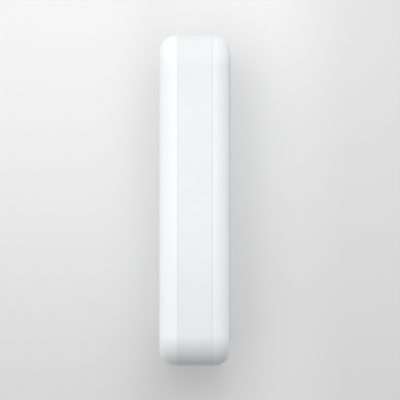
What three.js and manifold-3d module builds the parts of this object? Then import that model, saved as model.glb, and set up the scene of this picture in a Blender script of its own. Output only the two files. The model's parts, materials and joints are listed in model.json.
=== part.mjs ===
// A battery video doorbell on its wall bracket, in millimetres.
// X is the width, Y runs from the front face (negative) to the wall (y = 0), Z is up.
// The origin is the centre of the bracket's back face, where it lies on the wall.
import * as THREE from "three";
import { mergeVertices } from "three/addons/utils/BufferGeometryUtils.js";
import Module from "manifold-3d";

// Overall size
const height = 131;
const width = 46;
const depth = 28; // front face to wall
const cornerRadius = 12.5; // of the outline, seen from the front

// Housing: front cover, mid frame and rear cover, one behind the other
const frontBand = 7.2; // depth of the front cover
const rearBand = 7.2; // wall to the seam between mid frame and rear cover
const wall = 2;
const frontRound = { deep: 6.4, pull: 5.6 }; // roll of the front edge: along Y, and inwards
const rearRound = { deep: 6.4, pull: 5 };
const seam = 0.3; // open joint between two covers
const gap = 0.3; // between separate pieces
const touch = 0.05; // between pieces that rest flat on each other
const gasketWidth = 1;
const gasketLap = 1.5; // how far the front gasket reaches behind its seam
const rearGasketDepth = 2;

// Wall bracket and the recess in the rear cover that takes it
const rimStandoff = 0.3; // rear rim to wall
const recessDepth = 3.1;
const recessInset = 7; // recess edge, in from the outline
const recessFoot = 2.5; // more than that at the lower end
const floorThickness = 1.6;
const bracketThickness = 2;
const bracketFit = 0.4; // bracket edge to recess edge
const tongue = { halfWidth: 3.5, x: 6, thickness: 1.2, y: -2, reach: 2.2, root: 4 };
const tonguePlay = 0.55; // room for the tongue in its pocket as the housing tips
const screwSlot = { x: 8, radius: 2.1, half: 2.6, fromTop: 23, fromFoot: 19.3 };
const wireWindow = { half: 11, low: -38, high: -9, radius: 3 };
const catchHook = { half: 5, z: -49.3, thickness: 1.4, reach: 8.6, tip: 1.2, tipHeight: 1.2 };

// Front face
const cameraWindow = { half: 15, tall: 22, thickness: 1.4, sunk: 0.2, down: 32.5 };
const windowLand = 2; // ledge that backs the window
const lensUp = 5; // lens above the window's centre
const barrelRadius = 6;
const trimWidth = 2;
const ledRadius = 2;
const led = { x: 8.5, down: 11.5 };
const lightSensor = { half: 1.5, down: 15 };
const pirLens = { half: 8, tall: 5, radius: 4, up: 2, flange: 1.3 };
const micUp = -13;
const micHole = 0.6;
const buttonRadius = 12;
const buttonRise = 29.5; // button centre above the lower end
const buttonTravel = 0.6;
const buttonDish = 0.7;
const ringWidth = 2.2;
const ringFlange = 1.5;
const stemRadius = 2;

// Boards and what they carry
const boardThickness = 1;
const mainBoardThickness = 1.2;
const sensorBoardDown = 8; // front face of the housing to the sensor board
const chassisDown = 9.8;
const chassisThickness = 1.2;
const mainBoardDown = 11.4;
const boardMargin = 3; // board edge to the inside of the wall
const postMargin = 0.8; // board edge to the posts
const mainBoard = { neckLength: 10, fromTop: 8.5, fromFoot: 19.5 };
const battery = { margin: 4, fromTop: 19.5, length: 52, edge: 3 };
const padThickness = 0.5;
const shield = { half: 11, low: -17, high: 5, tall: 1.9 };
const spreader = { low: -44, high: -14, thickness: 0.8 };
const powerBoard = { y: -9.4, top: -8.5, margin: 4, shoulder: 19.5 };
const usb = { half: 4.45, tall: 1.6, length: 7, shell: 0.35 };
const flap = { half: 7.2, tall: 3.5, thickness: 1, plugHalf: 4, plugTall: 1.2 };

// Fasteners, terminals, latch and speaker
const post = { radius: 3.2, inset: 10, insetTop: 14, bore: 1.3 };
const caseScrew = { radius: 1, head: 2, headHeight: 1.3, length: 11 };
const terminal = { x: 6, z: -27, half: 4.5, thickness: 0.7 };
const terminalScrew = { head: 3, headHeight: 1.35, shank: 1.6, length: 6.2 };
const pairing = { radius: 2.4, flange: 3.4, z: -13, proud: 0.7 };
const latch = { half: 8, y: -6.9, thickness: 1.6, bar: 2.2, window: 6.2 };
const pinHole = 0.8;
const gasketPinHole = 0.7;
const spring = { coil: 1.45, wire: 0.25, turns: 4.5, length: 6.6 };
const speaker = { z: -35, halfLength: 12, low: -15.1, high: -7.8, depth: 4.5, gasket: 0.6 };
const speakerSlots = { count: 6, pitch: 4, half: 0.7, long: 2.8 };

// Roundness of curved faces
const cornerSteps = 5;
const rollSteps = 4;
const roundSteps = 20;
const smallSteps = 3; // small slots and sockets

// Planes that the sizes above set
const top = height / 2;
const side = width / 2;
const front = -depth;
const frontInside = front + wall;
const frontSeam = front + frontBand;
const rearSeam = -rearBand;
const rim = -rimStandoff;
const recessFloor = rim - recessDepth;
const floorInside = recessFloor - floorThickness;
const bracketFront = -bracketThickness;

const wasm = await Module();
wasm.setup();

// ---- Shapes

// A closed three.js geometry as a solid that can be cut and joined.
function solid(geometry) {
  const bare = geometry.index ? geometry.toNonIndexed() : geometry.clone();
  bare.deleteAttribute("normal");
  bare.deleteAttribute("uv");
  const merged = mergeVertices(bare, 1e-4);
  const mesh = new wasm.Mesh({
    numProp: 3,
    vertProperties: merged.attributes.position.array,
    triVerts: new Uint32Array(merged.index.array),
  });
  return new wasm.Manifold(mesh);
}

function block(x0, x1, y0, y1, z0, z1) {
  const box = new THREE.BoxGeometry(x1 - x0, y1 - y0, z1 - z0);
  return solid(box.translate((x0 + x1) / 2, (y0 + y1) / 2, (z0 + z1) / 2));
}

// A block centred on x and z.
function blockAt(x, z, halfX, halfZ, y0, y1) {
  return block(x - halfX, x + halfX, y0, y1, z - halfZ, z + halfZ);
}

// A round bar along Y.
function bar(radius, y0, y1, x, z, steps = roundSteps) {
  const round = new THREE.CylinderGeometry(radius, radius, y1 - y0, steps);
  return solid(round.translate(x, (y0 + y1) / 2, z));
}

// A rectangle with round corners, in the plane of the front face.
function roundRect(halfX, halfZ, radius, x = 0, z = 0) {
  const r = Math.min(radius, halfX - 0.01, halfZ - 0.01);
  const shape = new THREE.Shape();
  shape.absarc(x + halfX - r, z + halfZ - r, r, 0, Math.PI / 2);
  shape.absarc(x - halfX + r, z + halfZ - r, r, Math.PI / 2, Math.PI);
  shape.absarc(x - halfX + r, z - halfZ + r, r, Math.PI, Math.PI * 1.5);
  shape.absarc(x + halfX - r, z - halfZ + r, r, Math.PI * 1.5, Math.PI * 2);
  shape.closePath();
  return shape;
}

// The housing's outline, drawn in by an even margin.
function outline(inset) {
  return roundRect(side - inset, top - inset, cornerRadius - inset);
}

// A flat shape given a thickness from y0 to y1, with its edges rolled over if a roll is given.
function plate(shape, y0, y1, roll = { deep: 0, pull: 0 }, arcSteps = cornerSteps) {
  const extruded = new THREE.ExtrudeGeometry(shape, {
    depth: y1 - y0 - 2 * roll.deep,
    bevelEnabled: roll.deep > 0,
    bevelThickness: roll.deep,
    bevelSize: roll.pull,
    bevelOffset: -roll.pull,
    bevelSegments: roll.deep > 1 ? rollSteps : 1,
    curveSegments: arcSteps,
  });
  return solid(extruded.rotateX(Math.PI / 2).translate(0, y1 - roll.deep, 0));
}

// A flat shape drawn in X and Y, given a height from z0 to z1.
function prism(shape, z0, z1) {
  const options = { depth: z1 - z0, bevelEnabled: false, curveSegments: smallSteps };
  return solid(new THREE.ExtrudeGeometry(shape, options).translate(0, 0, z0));
}

// A flat shape drawn in Y and Z, given a width from x0 to x1.
function sidePlate(shape, x0, x1) {
  const options = { depth: x1 - x0, bevelEnabled: false, curveSegments: smallSteps };
  const extruded = new THREE.ExtrudeGeometry(shape, options);
  return solid(extruded.rotateX(Math.PI / 2).rotateZ(Math.PI / 2).translate(x0, 0, 0));
}

// A small flat shape given a thickness from y0 to y1.
function smallPlate(shape, y0, y1) {
  return plate(shape, y0, y1, { deep: 0, pull: 0 }, smallSteps);
}

// A profile of [radius, y] pairs turned about an axis along Y, listed from the wall side to the front.
function turned(profile, x, z, steps = roundSteps) {
  const points = profile.map(([radius, y]) => new THREE.Vector2(radius, y)).reverse();
  return solid(new THREE.LatheGeometry(points, steps).translate(x, 0, z));
}

// Everything between two depths.
function slab(y0, y1) {
  return block(-side - 1, side + 1, y0, y1, -top - 1, top + 1);
}

// A band that follows the outline, between two insets and two depths.
function band(outer, inner, y0, y1) {
  return plate(outline(outer), y0, y1).subtract(plate(outline(inner), y0 - 1, y1 + 1));
}

// ---- Meshes

const finishes = {
  whiteShell: { color: 0xf2f3f5, roughness: 0.42, metalness: 0 },
  innerPlastic: { color: 0x2c2e31, roughness: 0.6, metalness: 0 },
  bracketPlastic: { color: 0xcdd0d3, roughness: 0.6, metalness: 0 },
  smokedWindow: { color: 0x08090b, roughness: 0.08, metalness: 0 },
  lensGlass: { color: 0x1b2430, roughness: 0.03, metalness: 0 },
  blackTrim: { color: 0x141517, roughness: 0.35, metalness: 0 },
  diffuser: { color: 0xdfe6ee, roughness: 0.5, metalness: 0 },
  lensFilm: { color: 0xe9ebec, roughness: 0.55, metalness: 0 },
  silicone: { color: 0x3c3f43, roughness: 0.8, metalness: 0 },
  whiteRubber: { color: 0xe4e6e8, roughness: 0.7, metalness: 0 },
  circuitBoard: { color: 0x124a2c, roughness: 0.5, metalness: 0 },
  chip: { color: 0x1c1d1f, roughness: 0.45, metalness: 0 },
  tinned: { color: 0xc3c6c9, roughness: 0.3, metalness: 1 },
  brass: { color: 0xc9a45a, roughness: 0.3, metalness: 1 },
  steel: { color: 0xa9adb1, roughness: 0.35, metalness: 1 },
  aluminium: { color: 0xb9bcc0, roughness: 0.4, metalness: 1 },
  cellWrap: { color: 0x2f6fa8, roughness: 0.4, metalness: 0 },
  foam: { color: 0x26272a, roughness: 0.95, metalness: 0 },
  label: { color: 0xf4f4f1, roughness: 0.6, metalness: 0 },
};

const doorbell = new THREE.Group();

function add(name, made, finish) {
  const { vertProperties, triVerts, numProp } = made.getMesh();
  if (numProp !== 3) throw new Error(name + " carries more than positions");
  const geometry = new THREE.BufferGeometry();
  geometry.setAttribute("position", new THREE.BufferAttribute(vertProperties, 3));
  geometry.setIndex(new THREE.BufferAttribute(triVerts, 1));
  geometry.computeVertexNormals();
  const mesh = new THREE.Mesh(geometry, new THREE.MeshStandardMaterial(finishes[finish]));
  mesh.name = name;
  doorbell.add(mesh);
}

// The four places where the covers are screwed together.
const postX = side - post.inset;
const postZ = top - post.insetTop;
const corners = [
  { name: "upper_left", x: -postX, z: postZ },
  { name: "upper_right", x: postX, z: postZ },
  { name: "lower_left", x: -postX, z: -postZ },
  { name: "lower_right", x: postX, z: -postZ },
];

// ---- Front cover

const windowZ = top - cameraWindow.down;
const lensZ = windowZ + lensUp;
const ledZ = windowZ - led.down;
const sensorZ = windowZ - lightSensor.down;
const buttonZ = buttonRise - top;
const windowFront = front + cameraWindow.sunk;
const windowBack = windowFront + cameraWindow.thickness;
const landFront = windowBack + touch;
const landBack = landFront + windowLand;
const ringOuter = buttonRadius + gap + ringWidth;
const flangeOuter = ringOuter + ringFlange;
const lensBore = barrelRadius + gap + trimWidth + gap;
const coreRound = { deep: frontRound.deep - wall, pull: frontRound.pull - wall };
const beyond = 2 * frontRound.deep + 10; // keeps the other end's roll outside the slab that is kept

function windowShape(margin) {
  const half = cameraWindow.half + margin;
  return roundRect(half, cameraWindow.tall + margin, half, 0, windowZ);
}

function pirShape(margin) {
  return roundRect(pirLens.half + margin, pirLens.tall + margin, pirLens.radius + margin, 0, pirLens.up);
}

function frontCover() {
  const sensorHole = lightSensor.half + gap;
  const outside = plate(outline(0), front, front + beyond, frontRound);
  const inside = plate(outline(wall), frontInside, front + beyond + wall, coreRound);
  const land = plate(windowShape(wall), frontInside - touch, landBack);
  return outside
    .subtract(inside)
    .intersect(slab(front - 1, frontSeam - seam / 2))
    .add(land)
    .subtract(plate(windowShape(gap), front - 1, landFront))
    .subtract(bar(lensBore, front - 1, landBack + 1, 0, lensZ))
    .subtract(bar(ledRadius + gap, front, landBack + 1, -led.x, ledZ, 12))
    .subtract(bar(ledRadius + gap, front, landBack + 1, led.x, ledZ, 12))
    .subtract(blockAt(0, sensorZ, sensorHole, sensorHole, front, landBack + 1))
    .subtract(plate(pirShape(gap), front - 1, frontInside + 1))
    .subtract(bar(ringOuter + gap, front - 1, frontInside + 1, 0, buttonZ, 30))
    .subtract(bar(flangeOuter + gap, frontInside, frontSeam, 0, buttonZ, 30))
    .subtract(bar(micHole, front - 1, frontInside + 1, 0, micUp, 10));
}
add("front_cover", frontCover(), "whiteShell");

// ---- Mid frame, with the posts that hold the case screws

const midFront = frontSeam + seam / 2;
const midBack = rearSeam - seam / 2;
const postFront = front + chassisDown - gap - 0.3;
const postBack = midBack - gap;
const slotY = (speaker.low + speaker.high) / 2;
const powerFront = powerBoard.y - boardThickness;
const usbY = powerFront - touch - usb.tall;
const flapFloor = -top + flap.thickness + touch;
const flapHinge = { x: flap.half - flap.thickness / 2, z: -top + flap.thickness / 2 };

function midFrame() {
  const webs = corners.map(({ x, z }) => {
    const outX = Math.sign(x) * side;
    const outZ = Math.sign(z) * top;
    const web = block(Math.min(x, outX), Math.max(x, outX), postFront, postBack, z - 1, z + 1);
    const rib = block(x - 1, x + 1, postFront, postBack, Math.min(z, outZ), Math.max(z, outZ));
    return bar(post.radius, postFront, postBack, x, z, 16).add(web).add(rib);
  });
  let frame = band(0, wall, midFront, midBack);
  for (const web of webs) frame = frame.add(web.intersect(plate(outline(wall / 2), midFront, midBack)));
  for (const { x, z } of corners) {
    frame = frame.subtract(bar(post.bore, postFront - 1, postBack + 1, x, z, 12));
  }
  for (let i = 0; i < speakerSlots.count; i++) {
    const z = speaker.z + (i - (speakerSlots.count - 1) / 2) * speakerSlots.pitch;
    const slot = roundRect(speakerSlots.long, speakerSlots.half, speakerSlots.half, slotY, z);
    frame = frame.subtract(sidePlate(slot, -side - 1, -side + wall + 1));
  }
  const seat = roundRect(flap.half + gap, flap.tall + gap, flap.tall + gap, 0, usbY);
  const port = roundRect(usb.half + gap, usb.tall + gap, usb.tall, 0, usbY);
  const seatY = flap.tall + gap;
  const hingeEnd = block(0, flap.half + gap, usbY - seatY, usbY + seatY, -top - 1, flapFloor);
  return frame
    .subtract(prism(seat, -top - 1, flapFloor))
    .subtract(prism(port, -top - 1, -top + wall + 1))
    .subtract(hingeEnd);
}
add("mid_frame", midFrame(), "whiteShell");

// ---- Rear cover, with the recess for the bracket, the tongue pockets and the latch rails

const recessX = side - recessInset;
const recessTop = top - recessInset;
const recessFootZ = -top + recessInset + recessFoot;
const recessRadius = cornerRadius - recessInset;
const latchBack = latch.y + latch.thickness;
const catchTipZ = catchHook.z + catchHook.thickness / 2 + catchHook.tipHeight;
const latchNose = catchTipZ + gap;
const latchTop = latchNose + latch.bar;
const latchFoot = -top + wall + gap + gasketWidth + gap;
const springSeat = latchTop + gap + spring.length + gap;
const hookSlot = { half: catchHook.half + 1.5, low: catchHook.z - 3, high: latchNose + gap };

// The recess and the bracket that fills it share one outline.
function recessShape(margin) {
  const halfZ = (recessTop - recessFootZ) / 2 - margin;
  return roundRect(recessX - margin, halfZ, recessRadius - margin, 0, (recessTop + recessFootZ) / 2);
}

// The way up through the lower end for the pin that pushes the latch.
function pinPath(radius) {
  const path = new THREE.CylinderGeometry(radius, radius, 6, 12).rotateX(Math.PI / 2);
  return solid(path.translate(0, latch.y + latch.thickness / 2, -top + 2));
}

function rearCover() {
  const outside = plate(outline(0), rim - beyond, rim, rearRound).intersect(slab(rearSeam + seam / 2, 1));
  let cover = outside
    .subtract(plate(outline(wall), rearSeam - 1, floorInside))
    .subtract(plate(recessShape(0), recessFloor, 1));
  for (const { x, z } of corners) {
    cover = cover
      .add(bar(post.radius, rearSeam + seam, recessFloor - touch, x, z, 16))
      .subtract(bar(caseScrew.head + gap, recessFloor - caseScrew.headHeight - 2 * gap, 1, x, z, 16))
      .subtract(bar(post.bore, rearSeam - 1, 1, x, z, 12));
  }
  for (const x of [-tongue.x, tongue.x]) {
    const half = tongue.halfWidth + gap;
    const pocketHalf = tongue.thickness / 2 + tonguePlay;
    const pocketTop = recessTop - bracketFit + tongue.reach + 2 * gap;
    cover = cover.subtract(
      block(x - half, x + half, tongue.y - pocketHalf, tongue.y + pocketHalf, recessTop - 1, pocketTop),
    );
  }
  for (const x of [-terminal.x, terminal.x]) {
    cover = cover.subtract(bar(terminalScrew.shank + gap, rearSeam - 1, 1, x, terminal.z, 16));
  }
  const railX = latch.half + gap;
  for (const x of [-railX - 1.2, railX]) {
    cover = cover.add(block(x, x + 1.2, rearSeam + seam, floorInside + touch, latchFoot + 1, latchTop));
  }
  const seatDepth = spring.coil + spring.wire;
  const { half, low, high } = hookSlot;
  return cover
    .add(block(-2.6, 2.6, latch.y - seatDepth, floorInside + touch, springSeat, springSeat + 1.2))
    .subtract(block(-half, half, floorInside - 1, recessFloor + 1, low, high))
    .subtract(bar(pairing.radius + gap, floorInside - 1, 1, 0, pairing.z, 20))
    .subtract(pinPath(pinHole));
}
add("rear_cover", rearCover(), "whiteShell");

// ---- Wall bracket: a plate with a catch below, and two tongues above that the housing tips about

function wallBracket() {
  let bracket = plate(recessShape(bracketFit), bracketFront, 0);
  const tongueTop = recessTop - bracketFit + tongue.reach;
  for (const x of [-tongue.x, tongue.x]) {
    const y0 = tongue.y - tongue.thickness / 2;
    const middle = tongueTop - tongue.root / 2;
    bracket = bracket.add(blockAt(x, middle, tongue.halfWidth, tongue.root / 2, y0, y0 + tongue.thickness));
  }
  const neckLow = catchHook.z - catchHook.thickness / 2;
  const neckHigh = catchHook.z + catchHook.thickness / 2;
  const reachY = -catchHook.reach;
  bracket = bracket
    .add(block(-catchHook.half, catchHook.half, reachY, bracketFront + 0.5, neckLow, neckHigh))
    .add(block(-catchHook.half, catchHook.half, reachY, reachY + catchHook.tip, neckLow, catchTipZ));
  for (const x of [-screwSlot.x, screwSlot.x]) {
    for (const z of [top - screwSlot.fromTop, -top + screwSlot.fromFoot]) {
      const halfZ = screwSlot.radius + screwSlot.half;
      const slot = roundRect(screwSlot.radius, halfZ, screwSlot.radius, x, z);
      bracket = bracket.subtract(smallPlate(slot, bracketFront - 1, 1));
    }
  }
  const windowHalfZ = (wireWindow.high - wireWindow.low) / 2;
  const middle = (wireWindow.high + wireWindow.low) / 2;
  const wireHole = roundRect(wireWindow.half, windowHalfZ, wireWindow.radius, 0, middle);
  return bracket.subtract(smallPlate(wireHole, bracketFront - 1, 1));
}
add("wall_bracket", wallBracket(), "bracketPlastic");

// ---- Camera, infrared lights and light sensor, behind the smoked window

const sensorBoardFront = front + sensorBoardDown;
const sensorBoardBack = sensorBoardFront + boardThickness;
const trimOuter = barrelRadius + gap + trimWidth;
const windowPanel = plate(windowShape(0), windowFront, windowBack)
  .subtract(bar(trimOuter + gap, front - 1, windowBack + 1, 0, lensZ));
add("camera_window", windowPanel, "smokedWindow");

const trimFront = front + 0.1;
const trimBack = landBack - 0.3;
add("lens_trim_ring", turned([
  [barrelRadius + gap, trimBack], [trimOuter, trimBack], [trimOuter, trimFront + 0.3],
  [trimOuter - 0.3, trimFront], [barrelRadius + 0.6, trimFront], [barrelRadius + gap, trimFront + 0.6],
  [barrelRadius + gap, trimBack],
], 0, lensZ), "blackTrim");

const lensFront = front + 0.9;
const lensEdge = lensFront + 1.3;
const lensRadius = barrelRadius - 1;
const barrelFront = lensEdge - 0.3;
const barrelBack = sensorBoardFront - 2.2;
add("front_lens", turned([
  [0, lensEdge + 0.9], [lensRadius - gap, lensEdge + 0.9], [lensRadius - gap, lensEdge],
  [lensRadius * 0.7, lensFront + 0.45], [lensRadius * 0.36, lensFront + 0.1], [0, lensFront],
], 0, lensZ), "lensGlass");

const bore = lensRadius - 2;
add("lens_barrel", turned([
  [bore, barrelBack], [barrelRadius, barrelBack], [barrelRadius, barrelFront],
  [lensRadius, barrelFront], [lensRadius, lensEdge + 0.9 + gap], [bore, lensEdge + 0.9 + gap],
  [bore, barrelBack],
], 0, lensZ), "blackTrim");

const holderHalf = barrelRadius + gap + 1.5;
const holderFront = barrelBack - 1.6;
const holderSeat = barrelRadius + gap;
const onSensorBoard = sensorBoardFront - touch;
add("lens_holder", blockAt(0, lensZ, holderHalf, holderHalf, holderFront, onSensorBoard)
  .subtract(bar(holderSeat, holderFront - 1, sensorBoardFront + 1, 0, lensZ)), "innerPlastic");
add("image_sensor", blockAt(0, lensZ, 3.4, 3, onSensorBoard - 1.1, onSensorBoard), "chip");

const ledTip = windowBack + gap;
for (const [name, x] of [["ir_led_left", -led.x], ["ir_led_right", led.x]]) {
  add(name, turned([
    [0, onSensorBoard], [ledRadius, onSensorBoard], [ledRadius, ledTip + ledRadius * 0.6],
    [ledRadius * 0.7, ledTip + ledRadius * 0.18], [0, ledTip],
  ], x, ledZ, 12), "lensGlass");
}
add("light_sensor", blockAt(
  0, sensorZ, lightSensor.half, lightSensor.half, landFront + 0.8, onSensorBoard,
), "chip");

// ---- Motion sensor and microphone

const flangeFront = frontInside + touch;
const flangeBack = flangeFront + 0.8;
add("pir_lens", plate(pirShape(0), front + 0.2, flangeBack, { deep: 0.5, pull: 0.6 })
  .add(plate(pirShape(pirLens.flange), flangeFront, flangeBack)), "lensFilm");
add("pir_sensor", turned([
  [0, onSensorBoard], [4.6, onSensorBoard], [4.6, onSensorBoard - 0.6],
  [4, onSensorBoard - 0.6], [4, flangeBack + 0.9], [0, flangeBack + 0.9],
], 0, pirLens.up), "tinned");

add("mic_mesh", bar(2.2, frontInside + touch, frontInside + 0.35, 0, micUp, 12), "blackTrim");
const micFront = sensorBoardFront - 1.2;
add("mic_boot", turned([
  [0.9, micFront - touch], [2.6, micFront - touch], [2.6, frontInside + 0.4],
  [0.9, frontInside + 0.4], [0.9, micFront - touch],
], 0, micUp, 12), "silicone");
add("microphone", blockAt(0, micUp, 2, 1.5, micFront, onSensorBoard), "tinned");

const sensorBoardHalf = postX - 1 - gap;
add("sensor_board", block(
  -sensorBoardHalf, sensorBoardHalf, sensorBoardFront, sensorBoardBack, micUp - 2.5, top - 12.5,
), "circuitBoard");

// ---- Push button with its light ring

const ringInner = buttonRadius + gap;
const capFront = front + 0.1;
const capBack = frontInside + 0.4;
const stemEnd = sensorBoardFront - 2.6;
const sealFront = frontInside + 1.6;
const sealBack = sealFront + 0.8;
const boardFront = sensorBoardFront + 0.5;
add("button_cap", turned([
  [0, stemEnd], [stemRadius, stemEnd], [stemRadius, capBack], [buttonRadius, capBack],
  [buttonRadius, capFront + 0.5], [buttonRadius - 0.5, capFront],
  [buttonRadius * 0.62, capFront + buttonDish * 0.6],
  [buttonRadius * 0.3, capFront + buttonDish * 0.92], [0, capFront + buttonDish],
], 0, buttonZ, 30), "whiteShell");
add("light_ring", turned([
  [ringInner, sealFront - 0.3], [flangeOuter, sealFront - 0.3], [flangeOuter, frontInside + touch],
  [ringOuter, frontInside + touch], [ringOuter, front + 0.2], [ringInner, front + 0.2],
  [ringInner, sealFront - 0.3],
], 0, buttonZ, 30), "diffuser");
add("button_seal", turned([
  [stemRadius + gap, sealBack], [ringOuter, sealBack], [ringOuter, sealFront],
  [stemRadius + gap, sealFront], [stemRadius + gap, sealBack],
], 0, buttonZ), "silicone");
const switchTip = stemEnd + buttonTravel + 0.1;
add("button_switch", blockAt(0, buttonZ, 3, 3, switchTip + 0.7, boardFront - touch)
  .add(bar(1.6, switchTip, switchTip + 1, 0, buttonZ, 12)), "tinned");
const boardBack = boardFront + boardThickness - 0.2;
add("button_board", bar(ringOuter, boardFront, boardBack, 0, buttonZ), "circuitBoard");

// ---- Gaskets, chassis and main board

add("front_gasket", band(
  wall + gap, wall + gap + gasketWidth, front + frontRound.deep, frontSeam + gasketLap,
), "silicone");
add("rear_gasket", band(
  wall + gap, wall + gap + gasketWidth, floorInside - gap - rearGasketDepth, floorInside - gap,
).subtract(pinPath(gasketPinHole)), "silicone");

const chassisFront = front + chassisDown;
const chassisBack = chassisFront + chassisThickness;
const chassisInset = wall + gap + touch;
const shieldZ = (shield.high + shield.low) / 2;
const shieldHalfZ = (shield.high - shield.low) / 2;
let chassis = plate(outline(chassisInset), chassisFront, chassisBack)
  .subtract(blockAt(0, shieldZ, shield.half + 1, shieldHalfZ + 1, chassisFront - 1, chassisBack + 1));
for (const { x, z } of corners) {
  const outX = Math.sign(x) * side;
  const outZ = Math.sign(z) * top;
  const inX = x - Math.sign(x) * (1 + gap);
  const inZ = z - Math.sign(z) * (1 + gap);
  const [x0, x1] = [Math.min(inX, outX), Math.max(inX, outX)];
  const [z0, z1] = [Math.min(inZ, outZ), Math.max(inZ, outZ)];
  chassis = chassis
    .subtract(bar(post.radius + gap, chassisFront - 1, chassisBack + 1, x, z, 16))
    .subtract(block(x0, x1, chassisFront - 1, chassisBack + 1, z0, z1));
}
add("inner_chassis", chassis, "innerPlastic");

const mainFront = front + mainBoardDown;
const mainBack = mainFront + mainBoardThickness;
const mainTop = top - mainBoard.fromTop;
const shoulder = mainTop - mainBoard.neckLength;
const mainLow = -top + mainBoard.fromFoot;
const mainHalf = side - wall - boardMargin;
const neckHalf = postX - post.radius - postMargin;
add("main_board", block(-mainHalf, mainHalf, mainFront, mainBack, mainLow, shoulder)
  .add(block(-neckHalf, neckHalf, mainFront, mainBack, shoulder - 1, mainTop)), "circuitBoard");
add("shield_can", plate(
  roundRect(shield.half, shieldHalfZ, 1.2, 0, shieldZ),
  mainFront - touch - shield.tall, mainFront - touch, { deep: 0.3, pull: 0.3 }, smallSteps,
), "tinned");
add("antenna", block(-7.5, 7.5, mainBack + touch, midBack - 0.9, top - 6.8, top - 5.8)
  .add(block(-7.5, 7.5, mainBack + touch, mainBack + 0.7, top - 12, top - 5.8)), "tinned");

// ---- Battery, heat spreader and power board

const batteryHalf = side - wall - battery.margin;
const batteryTop = top - battery.fromTop;
const batteryLow = batteryTop - battery.length;
const batteryFront = mainBack + 0.7;
const padBack = floorInside - gap;
const batteryBack = padBack - padThickness - touch;
const batteryRoll = { deep: battery.edge, pull: battery.edge };
const batteryZ = (batteryTop + batteryLow) / 2;
const batteryShape = roundRect(batteryHalf, battery.length / 2, battery.edge + 0.6, 0, batteryZ);
add("battery_pack", plate(batteryShape, batteryFront, batteryBack, batteryRoll, smallSteps), "cellWrap");
add("battery_pad", block(
  -batteryHalf + 4, batteryHalf - 4, padBack - padThickness, padBack, batteryLow + 5, batteryTop - 5,
), "foam");
const plugTop = batteryLow - 1;
add("battery_connector", block(8, 15, mainBack + touch, mainBack + 2.6, plugTop - 4, plugTop), "lensFilm");

const speakerSeal = -side + wall + 0.2; // outer face of the speaker's gasket
const speakerFront = speakerSeal + speaker.gasket + gap;
const speakerBack = speakerFront + speaker.depth;
const spreaderFront = mainBack + 0.4;
const boardRight = side - wall - powerBoard.margin;
add("heat_spreader", block(
  speakerBack + 2, boardRight, spreaderFront, spreaderFront + spreader.thickness, spreader.low, spreader.high,
), "aluminium");

const powerBack = powerBoard.y;
const powerLow = -top + powerBoard.shoulder;
const neckLow = -top + wall + 1;
const boardLeft = speakerBack + 1.4;
add("power_board", block(boardLeft, boardRight, powerFront, powerBack, powerLow, powerBoard.top)
  .add(block(-neckHalf, neckHalf, powerFront, powerBack, neckLow, powerLow + 1)), "circuitBoard");

const usbMouth = -top + wall + 0.5;
const usbShape = (margin) => roundRect(usb.half - margin, usb.tall - margin, usb.tall - margin, 0, usbY);
const usbBack = usbMouth + usb.length;
add("usb_socket", prism(usbShape(0), usbMouth, usbBack)
  .subtract(prism(usbShape(usb.shell), usbMouth - 1, usbBack - 0.8))
  .add(block(-3.3, 3.3, usbY - 0.35, usbY + 0.35, usbMouth + 1, usbBack - 0.4)), "tinned");

// The flap closes the socket and turns down about its right-hand end.
const flapTop = -top + flap.thickness;
const [flapLow, flapHigh] = [usbY - flap.tall, usbY + flap.tall];
const flapBody = prism(roundRect(flap.half, flap.tall, flap.tall, 0, usbY), -top, flapTop)
  .intersect(block(-side, flapHinge.x, -depth, 0, -top - 1, top))
  .add(block(0, flapHinge.x, flapLow, flapHigh, -top, flapTop))
  .add(bar(flap.thickness / 2, flapLow, flapHigh, flapHinge.x, flapHinge.z, 12));
const flapPlug = roundRect(flap.plugHalf, flap.plugTall, flap.plugTall, 0, usbY);
add("usb_flap", flapBody.add(prism(flapPlug, -top + flap.thickness / 2, -top + wall)), "whiteRubber");

// ---- Speaker, facing the slots in the left wall

const speakerHalfY = (speaker.high - speaker.low) / 2;

function speakerShape(margin) {
  return roundRect(speakerHalfY - margin, speaker.halfLength - margin, 1.5, slotY, speaker.z);
}
add("speaker_gasket", sidePlate(speakerShape(0), speakerSeal, speakerSeal + speaker.gasket)
  .subtract(sidePlate(speakerShape(1), speakerSeal - 1, speakerSeal + 2)), "foam");
add("speaker_frame", sidePlate(speakerShape(0), speakerFront, speakerBack)
  .subtract(sidePlate(speakerShape(0.8), speakerFront - 1, speakerFront + 1.2))
  .subtract(sidePlate(speakerShape(1.6), speakerFront, speakerBack - 0.6)), "innerPlastic");
add("speaker_diaphragm", sidePlate(speakerShape(1.1), speakerFront + 0.3, speakerFront + 0.7), "blackTrim");
add("speaker_magnet", sidePlate(speakerShape(2.4), speakerFront + 1.5, speakerBack - 0.9), "steel");

// ---- Terminals, pairing button and case screws

for (const [hand, x] of [["left", -terminal.x], ["right", terminal.x]]) {
  const plateBack = recessFloor + touch + terminal.thickness;
  const half = terminal.half;
  add("terminal_plate_" + hand, blockAt(x, terminal.z, half, half, recessFloor + touch, plateBack)
    .subtract(bar(terminalScrew.shank + gap, recessFloor - 1, 0, x, terminal.z, 16)), "brass");
  const seat = plateBack + touch;
  const { head, shank, length } = terminalScrew;
  const headBack = seat + terminalScrew.headHeight;
  const slotHalf = 0.35;
  add("terminal_screw_" + hand, turned([
    [0, headBack], [head - 0.5, headBack], [head, headBack - 0.5], [head, seat],
    [shank, seat], [shank, headBack - length], [0, headBack - length],
  ], x, terminal.z).subtract(blockAt(x, terminal.z, 4, slotHalf, headBack - 0.6, 0)), "brass");
}

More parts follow.
